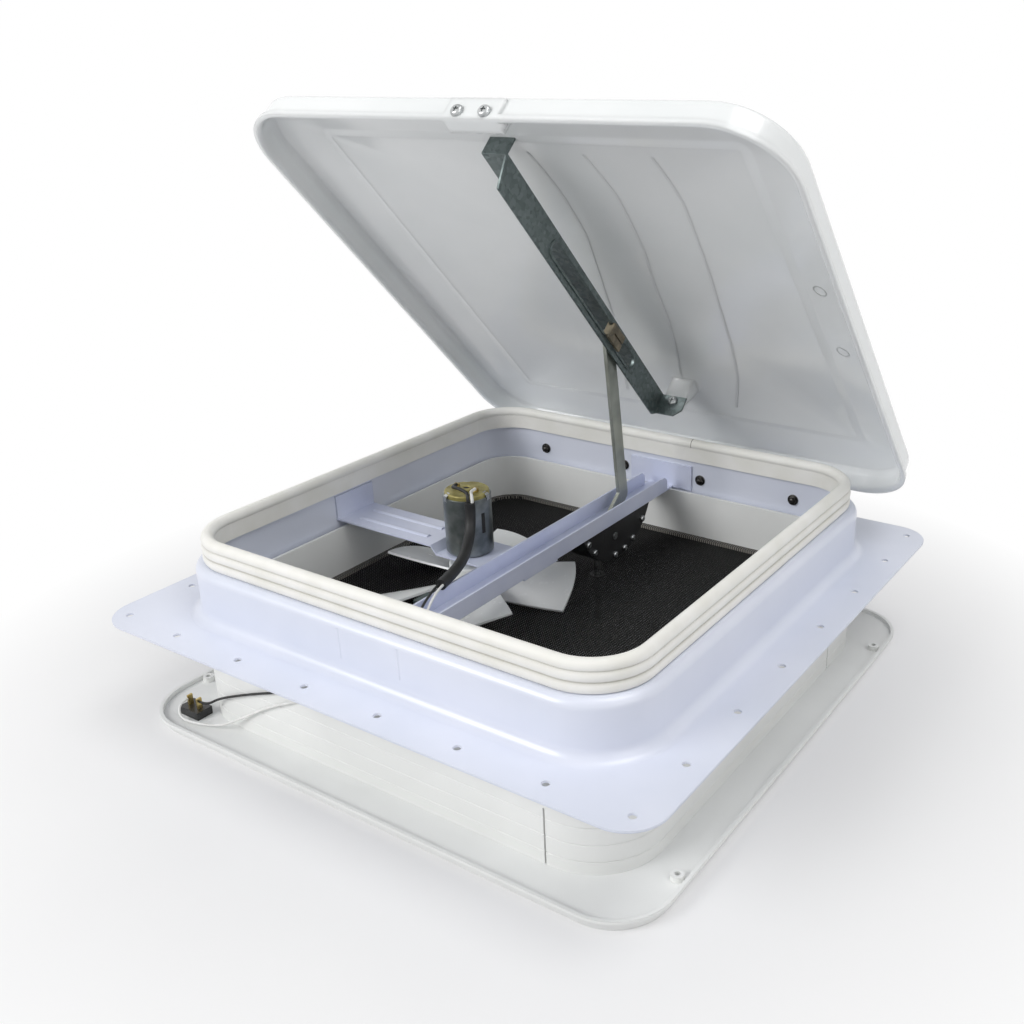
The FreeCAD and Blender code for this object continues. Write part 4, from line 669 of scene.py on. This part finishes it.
worm_rings = []
for row in range(WORM_ROWS + 1):
    height = WORM_LOW + (WORM_HIGH - WORM_LOW) * row / WORM_ROWS
    ring = []
    for n in range(WORM_STEPS):
        turn = 2 * math.pi * n / WORM_STEPS
        radius = worm_radius(height, n / WORM_STEPS)
        ring.append((radius * math.cos(turn), radius * math.sin(turn), height))
    worm_rings.append(ring)
worm_mesh = ringed_mesh("worm_thread", worm_rings)
spindle = turned_mesh("crank_spindle", [(2.2, -73.0), (2.5, -72.7), (2.5, -5.4)])
on_shaft = placed((*SHAFT_AT, 0.0))
crank_worm = gather("crank_worm", (worm_mesh, on_shaft), (spindle, on_shaft))
fix_to(crank_worm, "crank", "bright_steel", "crank_shaft")
dress(bright_steel, "crank_worm")
print("worm rows:", len(worm_rings))

# %% [markdown]
# ## Hem
# The edge of the screen is doubled over and stitched, which shows as a pale grey woven band on the
# ledge. Two crossed wave patterns draw the weave on the clamping frame. Real threads would be too
# small to see here, and the frame's solid already has the right shape.

# %% Hem weave
HEM_SCALE, HEM_WANDER = 160.0, 1.2
hem = Finish("hem_weave")
weaves = []
for axis in ("X", "Y"):
    wave = hem.nodes.new("ShaderNodeTexWave")
    wave.bands_direction = axis
    wave.inputs["Scale"].default_value = HEM_SCALE
    wave.inputs["Distortion"].default_value = HEM_WANDER
    hem.links.new(hem.place, wave.inputs["Vector"])
    weaves.append(wave.outputs["Fac"])
cross = hem.nodes.new("ShaderNodeMath")
cross.operation = "MULTIPLY"
hem.links.new(weaves[0], cross.inputs[0])
hem.links.new(weaves[1], cross.inputs[1])
stitches = cross.outputs["Value"]
hem.colour(stitches, tone(30, 29, 28), tone(150, 146, 139), start=0.08, end=0.7)
hem.gloss(stitches, low=0.7, high=0.5)
hem.relief(stitches, depth=0.25, strength=0.6)
dress(hem.material, "screen_frame")
print("hem:", hem.material.name)

# %% [markdown]
# ## Screws with a cross recess
# The lid's front screws, the foot screw and the gearbox screws are pan heads with a cross. The head is
# turned, and two tapered bars are cut out of it with a Boolean, just as a punch would strike the
# recess. A bump map would be cheaper, but the recess is the darkest spot of the screw, so real depth
# is worth it.

# %% Punch the recess
PUNCH_TAPER = 0.55  # the punch's length at its tip, as a share of its length at the top
PUNCH_LENGTH, PUNCH_WIDTH, PUNCH_FLOOR = 0.56, 0.15, 0.3  # shares of the head's width and height
PUNCH_OVER = 0.4
HEAD_FLAT, HEAD_RIM = 0.6, 0.3  # shares of the head's width and height before it rounds
HEAD_ROWS, HEAD_STEPS = 8, 36
SHANK_TIP = 0.6  # the width of the shank at its tip, as a share
BOX_FACES = [(0, 1, 2, 3), (7, 6, 5, 4), (0, 4, 5, 1), (1, 5, 6, 2), (2, 6, 7, 3), (3, 7, 4, 0)]


def bar_cutter(length, width, top, bottom, turn):
    """One tapered arm of the cross-shaped punch."""
    corners = []
    for height, share in ((top, 1.0), (bottom, PUNCH_TAPER)):
        for sx, sy in ((-1, -1), (1, -1), (1, 1), (-1, 1)):
            spot = (sx * length / 2 * share, sy * width / 2 * (0.5 + share / 2), height)
            corners.append(Matrix.Rotation(turn, 3, "Z") @ (Vector(spot) * MM))
    mesh = bpy.data.meshes.new("punch_arm")
    mesh.from_pydata(corners, [], BOX_FACES)
    return put_in_scene("punch_arm", mesh)


def pan_head(name, head, height, shank, reach):
    """A pan-head screw that stands on its seat at zero, with a cross struck into its head."""
    outline = [(shank / 2 * SHANK_TIP, -reach), (shank / 2, -reach + shank / 4), (shank / 2, 0),
               (head / 2, 0)]
    for n in range(HEAD_ROWS):
        turn = math.pi / 2 * n / (HEAD_ROWS - 1)
        outline.append((head / 2 * (HEAD_FLAT + (1 - HEAD_FLAT) * math.cos(turn)),
                        height * (HEAD_RIM + (1 - HEAD_RIM) * math.sin(turn))))
    screw = gather(name, (turned_mesh(name, outline, HEAD_STEPS), Matrix.Identity(4)))
    for turn in (0.0, math.pi / 2):
        punch = bar_cutter(head * PUNCH_LENGTH, head * PUNCH_WIDTH, height + PUNCH_OVER,
                           height * PUNCH_FLOOR, turn)
        strike = screw.modifiers.new("recess", "BOOLEAN")
        strike.operation = "DIFFERENCE"
        strike.object = punch
        with bpy.context.temp_override(object=screw, active_object=screw):
            bpy.ops.object.modifier_apply(modifier="recess")
        bpy.data.objects.remove(punch)
    mesh = screw.data
    bpy.data.objects.remove(screw)
    return mesh


lid_screw = pan_head("lid_screw", head=8.4, height=3.0, shank=4.0, reach=12.0)
gear_screw = pan_head("gear_screw", head=5.4, height=2.0, shank=2.4, reach=6.0)
print("screws struck:", len(lid_screw.vertices), len(gear_screw.vertices), "vertices")

# %% [markdown]
# ## Places on the open lid
# The lid was measured shut and then swung open about its hinge, so places on it are easier to give for
# the shut lid. One helper swings such a point open, and another finds the lid's inner skin above it by
# shooting a ray up, so that a rib or a mark lies exactly on the curved skin.

# %% Swing points with the lid
HINGE_AT = Vector((0.0, 200.0, 18.4))
LID_OPEN = -46.5  # degrees
SWING = Matrix.Rotation(math.radians(LID_OPEN), 3, "X")
UP_LID = SWING @ Vector((0.0, 0.0, 1.0))
FRONT_OF_LID = SWING @ Vector((0.0, -1.0, 0.0))
BELOW_SKIN = 46.0
lid_corners = [vent["lid"].matrix_world @ v.co for v in vent["lid"].data.vertices]
lid_skin = BVHTree.FromPolygons(lid_corners, [tuple(p.vertices) for p in vent["lid"].data.polygons])


def on_lid(point):
    """Where a point of the shut lid, in millimetres, is on the open lid."""
    return SWING @ (Vector(point) - HINGE_AT) + HINGE_AT


def inner_skin(x, y):
    """The spot on the lid's inner skin over a place of the shut lid, in millimetres, and its normal."""
    hit, normal, _, _ = lid_skin.ray_cast(on_lid((x, y, BELOW_SKIN)) * MM, UP_LID)
    return hit / MM, (normal if normal.dot(UP_LID) < 0 else -normal)


print("lid faces to aim at:", len(vent["lid"].data.polygons))

# %% Set the screws
FRONT_SCREWS_X, FRONT_SCREWS_Y, FRONT_SCREWS_Z = (-3.5, 17.5), -209.0, 43.8
FOOT_SCREW = (16.0, 121.0, 46.8)
GEAR_FACE, GEAR_CENTRE_Y, GEAR_CENTRE_Z, GEAR_ROUND = 12.0, 86.0, 38.0, 50.5
GEAR_ANGLES = (-147, -132, -95, -79, -64, -42)
front_places = [placed(on_lid((x, FRONT_SCREWS_Y, FRONT_SCREWS_Z)), FRONT_OF_LID)
                for x in FRONT_SCREWS_X]
front_pair = gather("front_screws", *[(lid_screw, place) for place in front_places])
fix_to(front_pair, "lid", "bright_steel", "lid_front_screws")
foot_one = gather("foot_screw", (lid_screw, placed(on_lid(FOOT_SCREW), FRONT_OF_LID)))
fix_to(foot_one, "lid", "bright_steel", "lid_foot_screw")
gear_places = []
for angle in GEAR_ANGLES:
    turn = math.radians(angle)
    spot = (GEAR_FACE, GEAR_CENTRE_Y + GEAR_ROUND * math.cos(turn),
            GEAR_CENTRE_Z + GEAR_ROUND * math.sin(turn))
    gear_places.append((gear_screw, placed(spot, (1.0, 0.0, 0.0))))
gear_row = gather("gear_screws", *gear_places)
fix_to(gear_row, "base", "bright_steel", "gearbox_screws")
dress(bright_steel, "front_screws", "foot_screw", "gear_screws")
print("screws placed:", front_pair.name, foot_one.name, gear_row.name)

# %% [markdown]
# ## Hinge bolts
# Each hinge is held by black bolts through the curb. Inside the throat they show a broad washer face
# with a small hexagon and a domed end, and outside a plain nut. Turned discs and six-sided ones are
# gathered on each bolt's line.

# %% Bolts, washers and nuts
BOLTS_X, BOLTS_Y, BOLTS_Z = (-123.6, -38.0, 38.0, 123.6), 176.3, 26.0
INWARD = (0.0, -1.0, 0.0)
bolt_meshes = [
    turned_mesh("bolt_washer", [(4.5, 0.0), (4.5, 0.8), (4.1, 1.1)]),
    turned_mesh("bolt_hexagon", [(3.6, 1.0), (3.6, 2.6), (3.2, 3.0)], steps=6),
    turned_mesh("bolt_dome", [(1.9, 2.9), (1.8, 3.5), (1.2, 3.9), (0.5, 4.0)]),
    turned_mesh("bolt_shaft", [(1.9, -16.6), (2.0, -16.2), (2.0, 0.2)]),
    turned_mesh("bolt_nut", [(3.9, -16.6), (4.2, -16.3), (4.2, -13.6), (3.9, -13.3)], steps=6),
]
bolts = gather("hinge_bolt_set", *[(mesh, placed((x, BOLTS_Y, BOLTS_Z), INWARD))
                                   for x in BOLTS_X for mesh in bolt_meshes])
fix_to(bolts, "base", "black_bolt", "hinge_bolts")
dress(bolt_black, "hinge_bolt_set")
print("bolts:", bolts.name)

# %% [markdown]
# ## Marks on the mouldings
# Thin ribs run down the inside of the lid, and two round marks on its right border show where the
# ejector pins pushed it out of the tool. On the curb, two faint upright beads mark the lap of the
# sheet. All of them are real raised strips: each follows a row of points and stands on the surface
# below it.

# %% A helper for raised strips
RIDGE_SECTION = ((-1.0, -0.15), (-0.6, 0.6), (0.0, 1.0), (0.6, 0.6), (1.0, -0.15))


def ridge(name, path, width, height):
    """A low rounded strip along spots with normals, in millimetres."""
    shape = bmesh.new()
    rows = []
    for n, (spot, out) in enumerate(path):
        run = path[min(n + 1, len(path) - 1)][0] - path[max(n - 1, 0)][0]
        side = run.cross(out).normalized() * width / 2
        rows.append([shape.verts.new((spot + side * across + out * height * rise) * MM)
                     for across, rise in RIDGE_SECTION])
    for one, two in zip(rows, rows[1:]):
        for n in range(len(RIDGE_SECTION) - 1):
            shape.faces.new((one[n], one[n + 1], two[n + 1], two[n]))
    bmesh.ops.recalc_face_normals(shape, faces=shape.faces)
    mesh = bpy.data.meshes.new(name)
    shape.to_mesh(mesh)
    shape.free()
    mesh.shade_smooth()
    return put_in_scene(name, mesh)


def along(points, steps=10):
    """More points along a bent line."""
    dense = []
    for (x0, y0), (x1, y1) in zip(points, points[1:]):
        dense += [(x0 + (x1 - x0) * n / steps, y0 + (y1 - y0) * n / steps) for n in range(steps)]
    return dense + [points[-1]]


print("strip helpers ready")

# %% Ribs, ejector marks and beads
RIB_WIDTH, RIB_HEIGHT = 2.6, 0.55
MARKS_X, MARKS_Y, MARK_SUNK = 180.0, (-37.0, 33.0), 0.2
CURB_FRONT, BEAD_WIDTH, BEAD_HEIGHT = -188.0, 2.4, 0.45
BEAD_LOW, BEAD_TOP, BEAD_STEP = 14, 36, 3
rib_lines = {
    "lid_rib_left": [(5, -150), (6, -105), (3, -59), (-8, -11), (-20, 40), (-41, 113), (-50, 150)],
    "lid_rib_middle": [(48, -150), (51, -106), (46, -45), (38, -4), (32, 42), (22, 89), (8, 150)],
    "lid_rib_right": [(98, -150), (100, -104), (93, -34), (86, 15), (79, 64), (70, 110), (58, 150)],
}
for name, points in rib_lines.items():
    rib = ridge(name, [inner_skin(x, y) for x, y in along(points)], RIB_WIDTH, RIB_HEIGHT)
    fix_to(rib, "lid", "lid_plastic")
    dress(lid_white, name)
mark_outline = ring_outline(inner=4.2, outer=5.2, height=0.4)
for number, y in enumerate(MARKS_Y, 1):
    spot, out = inner_skin(MARKS_X, y)
    mark = gather(f"ejector_mark_{number}",
                  (turned_mesh("mark", mark_outline), placed(spot - out * MARK_SUNK, out)))
    fix_to(mark, "lid", "lid_plastic")
    dress(lid_white, mark.name)
for name, x in (("curb_bead_left", -20.6), ("curb_bead_right", 29.3)):
    line = [(Vector((x, CURB_FRONT, z)), Vector((0.0, -1.0, 0.0)))
            for z in range(BEAD_LOW, BEAD_TOP, BEAD_STEP)]
    bead = ridge(name, line, BEAD_WIDTH, BEAD_HEIGHT)
    fix_to(bead, "base", "painted_sheet")
    dress(sheet_paint, name)
print("marks:", list(rib_lines), "and beads")

# %% [markdown]
# ## Motor details
# A raised bearing ring stands on the end cap, bent tabs of the can's edge hold the cap down, and an
# upright vent slot on each side shows the dark inside of the can. The tabs are short strips wrapped
# round the can's edge, and a slot is a thin near-black plate of painted shade just on the surface,
# since nobody can look far into it.

# %% Bearing ring, tabs and slots
MOTOR_AT = (-55.0, -18.0)
CAN_RADIUS = 18.0
CAP_FACE = 64.3
TAB_ANGLES, TAB_SPREAD = (-112, 8, 128), 13
TAB_LOW, TAB_HIGH, TAB_FOLD = 58.6, 62.6, 64.7
TAB_OUT, TAB_IN, TAB_SHEET = 0.25, 3.2, 0.5
SLOT_ANGLES, SLOT_SPREAD, SLOT_LOW, SLOT_HIGH, SLOT_OUT = (-12, 168), 10, 34, 50, 0.06


def wrapped(radius, angle, spread, height, steps=6):
    """A row of points at a height, bent round the motor."""
    row = []
    for n in range(steps + 1):
        turn = math.radians(angle - spread / 2 + spread * n / steps)
        row.append((MOTOR_AT[0] + radius * math.cos(turn), MOTOR_AT[1] + radius * math.sin(turn),
                    height))
    return row


on_cap = placed((*MOTOR_AT, CAP_FACE))
bearing_outline = ring_outline(inner=2.4, outer=6.0, height=1.7)
bearing = gather("bearing_ring", (turned_mesh("bearing", bearing_outline), on_cap))
fix_to(bearing, "base", "end_cap")
dress(cap_olive, "bearing_ring")
core_outline = [(2.3, 0.0), (2.3, 0.8), (1.6, 1.2)]
bearing_core = gather("bearing_core", (turned_mesh("core", core_outline), on_cap))
fix_to(bearing_core, "base", "gear_black")
dress(gear_black, "bearing_core")
for number, angle in enumerate(TAB_ANGLES, 1):
    foot = wrapped(CAN_RADIUS + TAB_OUT, angle, TAB_SPREAD, TAB_LOW)
    bend = wrapped(CAN_RADIUS + TAB_OUT, angle, TAB_SPREAD, TAB_HIGH)
    tip = wrapped(CAN_RADIUS - TAB_IN, angle, TAB_SPREAD, TAB_FOLD)
    for part in (band(f"crimp_tab_{number}", foot, bend), band(f"crimp_fold_{number}", bend, tip)):
        thick = part.modifiers.new("sheet", "SOLIDIFY")
        thick.thickness = TAB_SHEET * MM
        thick.offset = 0.0
        fix_to(part, "base", "bright_steel")
        dress(bright_steel, part.name)
# painted shade: a near-black plate on each vent slot stands for the shade inside the can
slot_painted_shade = plain_finish(
    "slot_painted_shade", tone(14, 14, 14), tone(28, 27, 26), drift=4, grain=0.8,
    gloss=(0.6, 0.8), depth=0.02)
for number, angle in enumerate(SLOT_ANGLES, 1):
    slot_rows = [wrapped(CAN_RADIUS + SLOT_OUT, angle, SLOT_SPREAD, height)
                 for height in (SLOT_LOW, SLOT_HIGH)]
    vent_slot = band(f"can_slot_{number}", *slot_rows)
    fix_to(vent_slot, "base", "gear_black")
    dress(slot_painted_shade, vent_slot.name)
print("motor details:", bearing.name, "with", len(TAB_ANGLES), "tabs and", len(SLOT_ANGLES), "slots")

# %% [markdown]
# ## Floor, light and background
# The vent stands on its tray on a plain pale floor in a white room. Soft light comes from all round;
# one large lamp on the front left, a weak one on the right and one overhead give the round edges their
# shape. Near the vent the floor is plain paper and takes the shadow. Farther out it fades to the white
# of the room for the camera, for reflections and through glass, so no horizon shows. Light Path tells
# these rays apart, and so the white background adds no light to the matt surfaces.

# %% Studio floor
FLOOR_HALF = 1.6  # metres
FADE_FROM, FADE_TO = 0.2, 0.5  # metres from the middle
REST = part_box("interior_garnish")[0].z


def pictured(tree):
    """Gives 1 for the rays that show the background: to the camera, in a mirror or through glass."""
    path = tree.nodes.new("ShaderNodeLightPath")
    seen = path.outputs["Is Camera Ray"]
    for kind in ("Is Glossy Ray", "Is Transmission Ray"):
        either = tree.nodes.new("ShaderNodeMath")
        either.operation = "MAXIMUM"
        tree.links.new(seen, either.inputs[0])
        tree.links.new(path.outputs[kind], either.inputs[1])
        seen = either.outputs["Value"]
    return seen


floor_mesh = bpy.data.meshes.new("studio_floor")
floor_mesh.from_pydata([(-FLOOR_HALF, -FLOOR_HALF, REST), (FLOOR_HALF, -FLOOR_HALF, REST),
                        (FLOOR_HALF, FLOOR_HALF, REST), (-FLOOR_HALF, FLOOR_HALF, REST)], [],
                       [(0, 1, 2, 3)])
floor = put_in_scene("studio_floor", floor_mesh)

paper = Finish("floor_paper")
paper.colour(paper.noise(size=400), tone(222, 222, 224), tone(230, 230, 231))
paper.gloss(paper.noise(size=30), low=0.75, high=0.85)
from_vent = paper.nodes.new("ShaderNodeVectorMath")
from_vent.operation = "LENGTH"
paper.links.new(paper.place, from_vent.inputs[0])
fade = paper.nodes.new("ShaderNodeMapRange")
fade.inputs["From Min"].default_value = FADE_FROM
fade.inputs["From Max"].default_value = FADE_TO
paper.links.new(from_vent.outputs["Value"], fade.inputs["Value"])
share = paper.nodes.new("ShaderNodeMath")
share.operation = "MULTIPLY"
paper.links.new(fade.outputs["Result"], share.inputs[0])
paper.links.new(pictured(paper), share.inputs[1])
glow = paper.nodes.new("ShaderNodeEmission")
mix = paper.nodes.new("ShaderNodeMixShader")
paper.links.new(share.outputs["Value"], mix.inputs["Fac"])
paper.links.new(paper.shader.outputs["BSDF"], mix.inputs[1])
paper.links.new(glow.outputs["Emission"], mix.inputs[2])
paper.links.new(mix.outputs["Shader"], paper.nodes["Material Output"].inputs["Surface"])
dress(paper.material, "studio_floor")
print("floor at", round(REST / MM, 1), "mm")

# %% Room light and lamps
ROOM_LIGHT, ROOM_WHITE = 0.31, 1.0
world = bpy.data.worlds.new("white_room")
scene.world = world
world.use_nodes = True
room = world.node_tree
back = room.nodes["Background"]
back.inputs["Color"].default_value = (1.0, 1.0, 1.0, 1.0)
level = room.nodes.new("ShaderNodeMapRange")
level.inputs["To Min"].default_value = ROOM_LIGHT
level.inputs["To Max"].default_value = ROOM_WHITE
room.links.new(pictured(room), level.inputs["Value"])
room.links.new(level.outputs["Result"], back.inputs["Strength"])


def lamp(name, place, target, size, power):
    """A square soft lamp, in metres and watts, that looks at a point."""
    light = bpy.data.lights.new(name, "AREA")
    light.size = size
    light.energy = power
    box = put_in_scene(name, light)
    box.location = place
    box.rotation_euler = (Vector(target) - Vector(place)).to_track_quat("-Z", "Y").to_euler()


lamp("key_lamp", (-1.1, -2.05, 1.3), target=(0.0, 0.0, 0.05), size=1.3, power=39)
lamp("side_lamp", (1.9, -0.5, 0.9), target=(0.0, 0.0, 0.1), size=1.2, power=8)
lamp("top_lamp", (0.9, 0.1, 2.3), target=(0.0, 0.0, 0.0), size=1.2, power=20)
scene.view_settings.view_transform = "Standard"
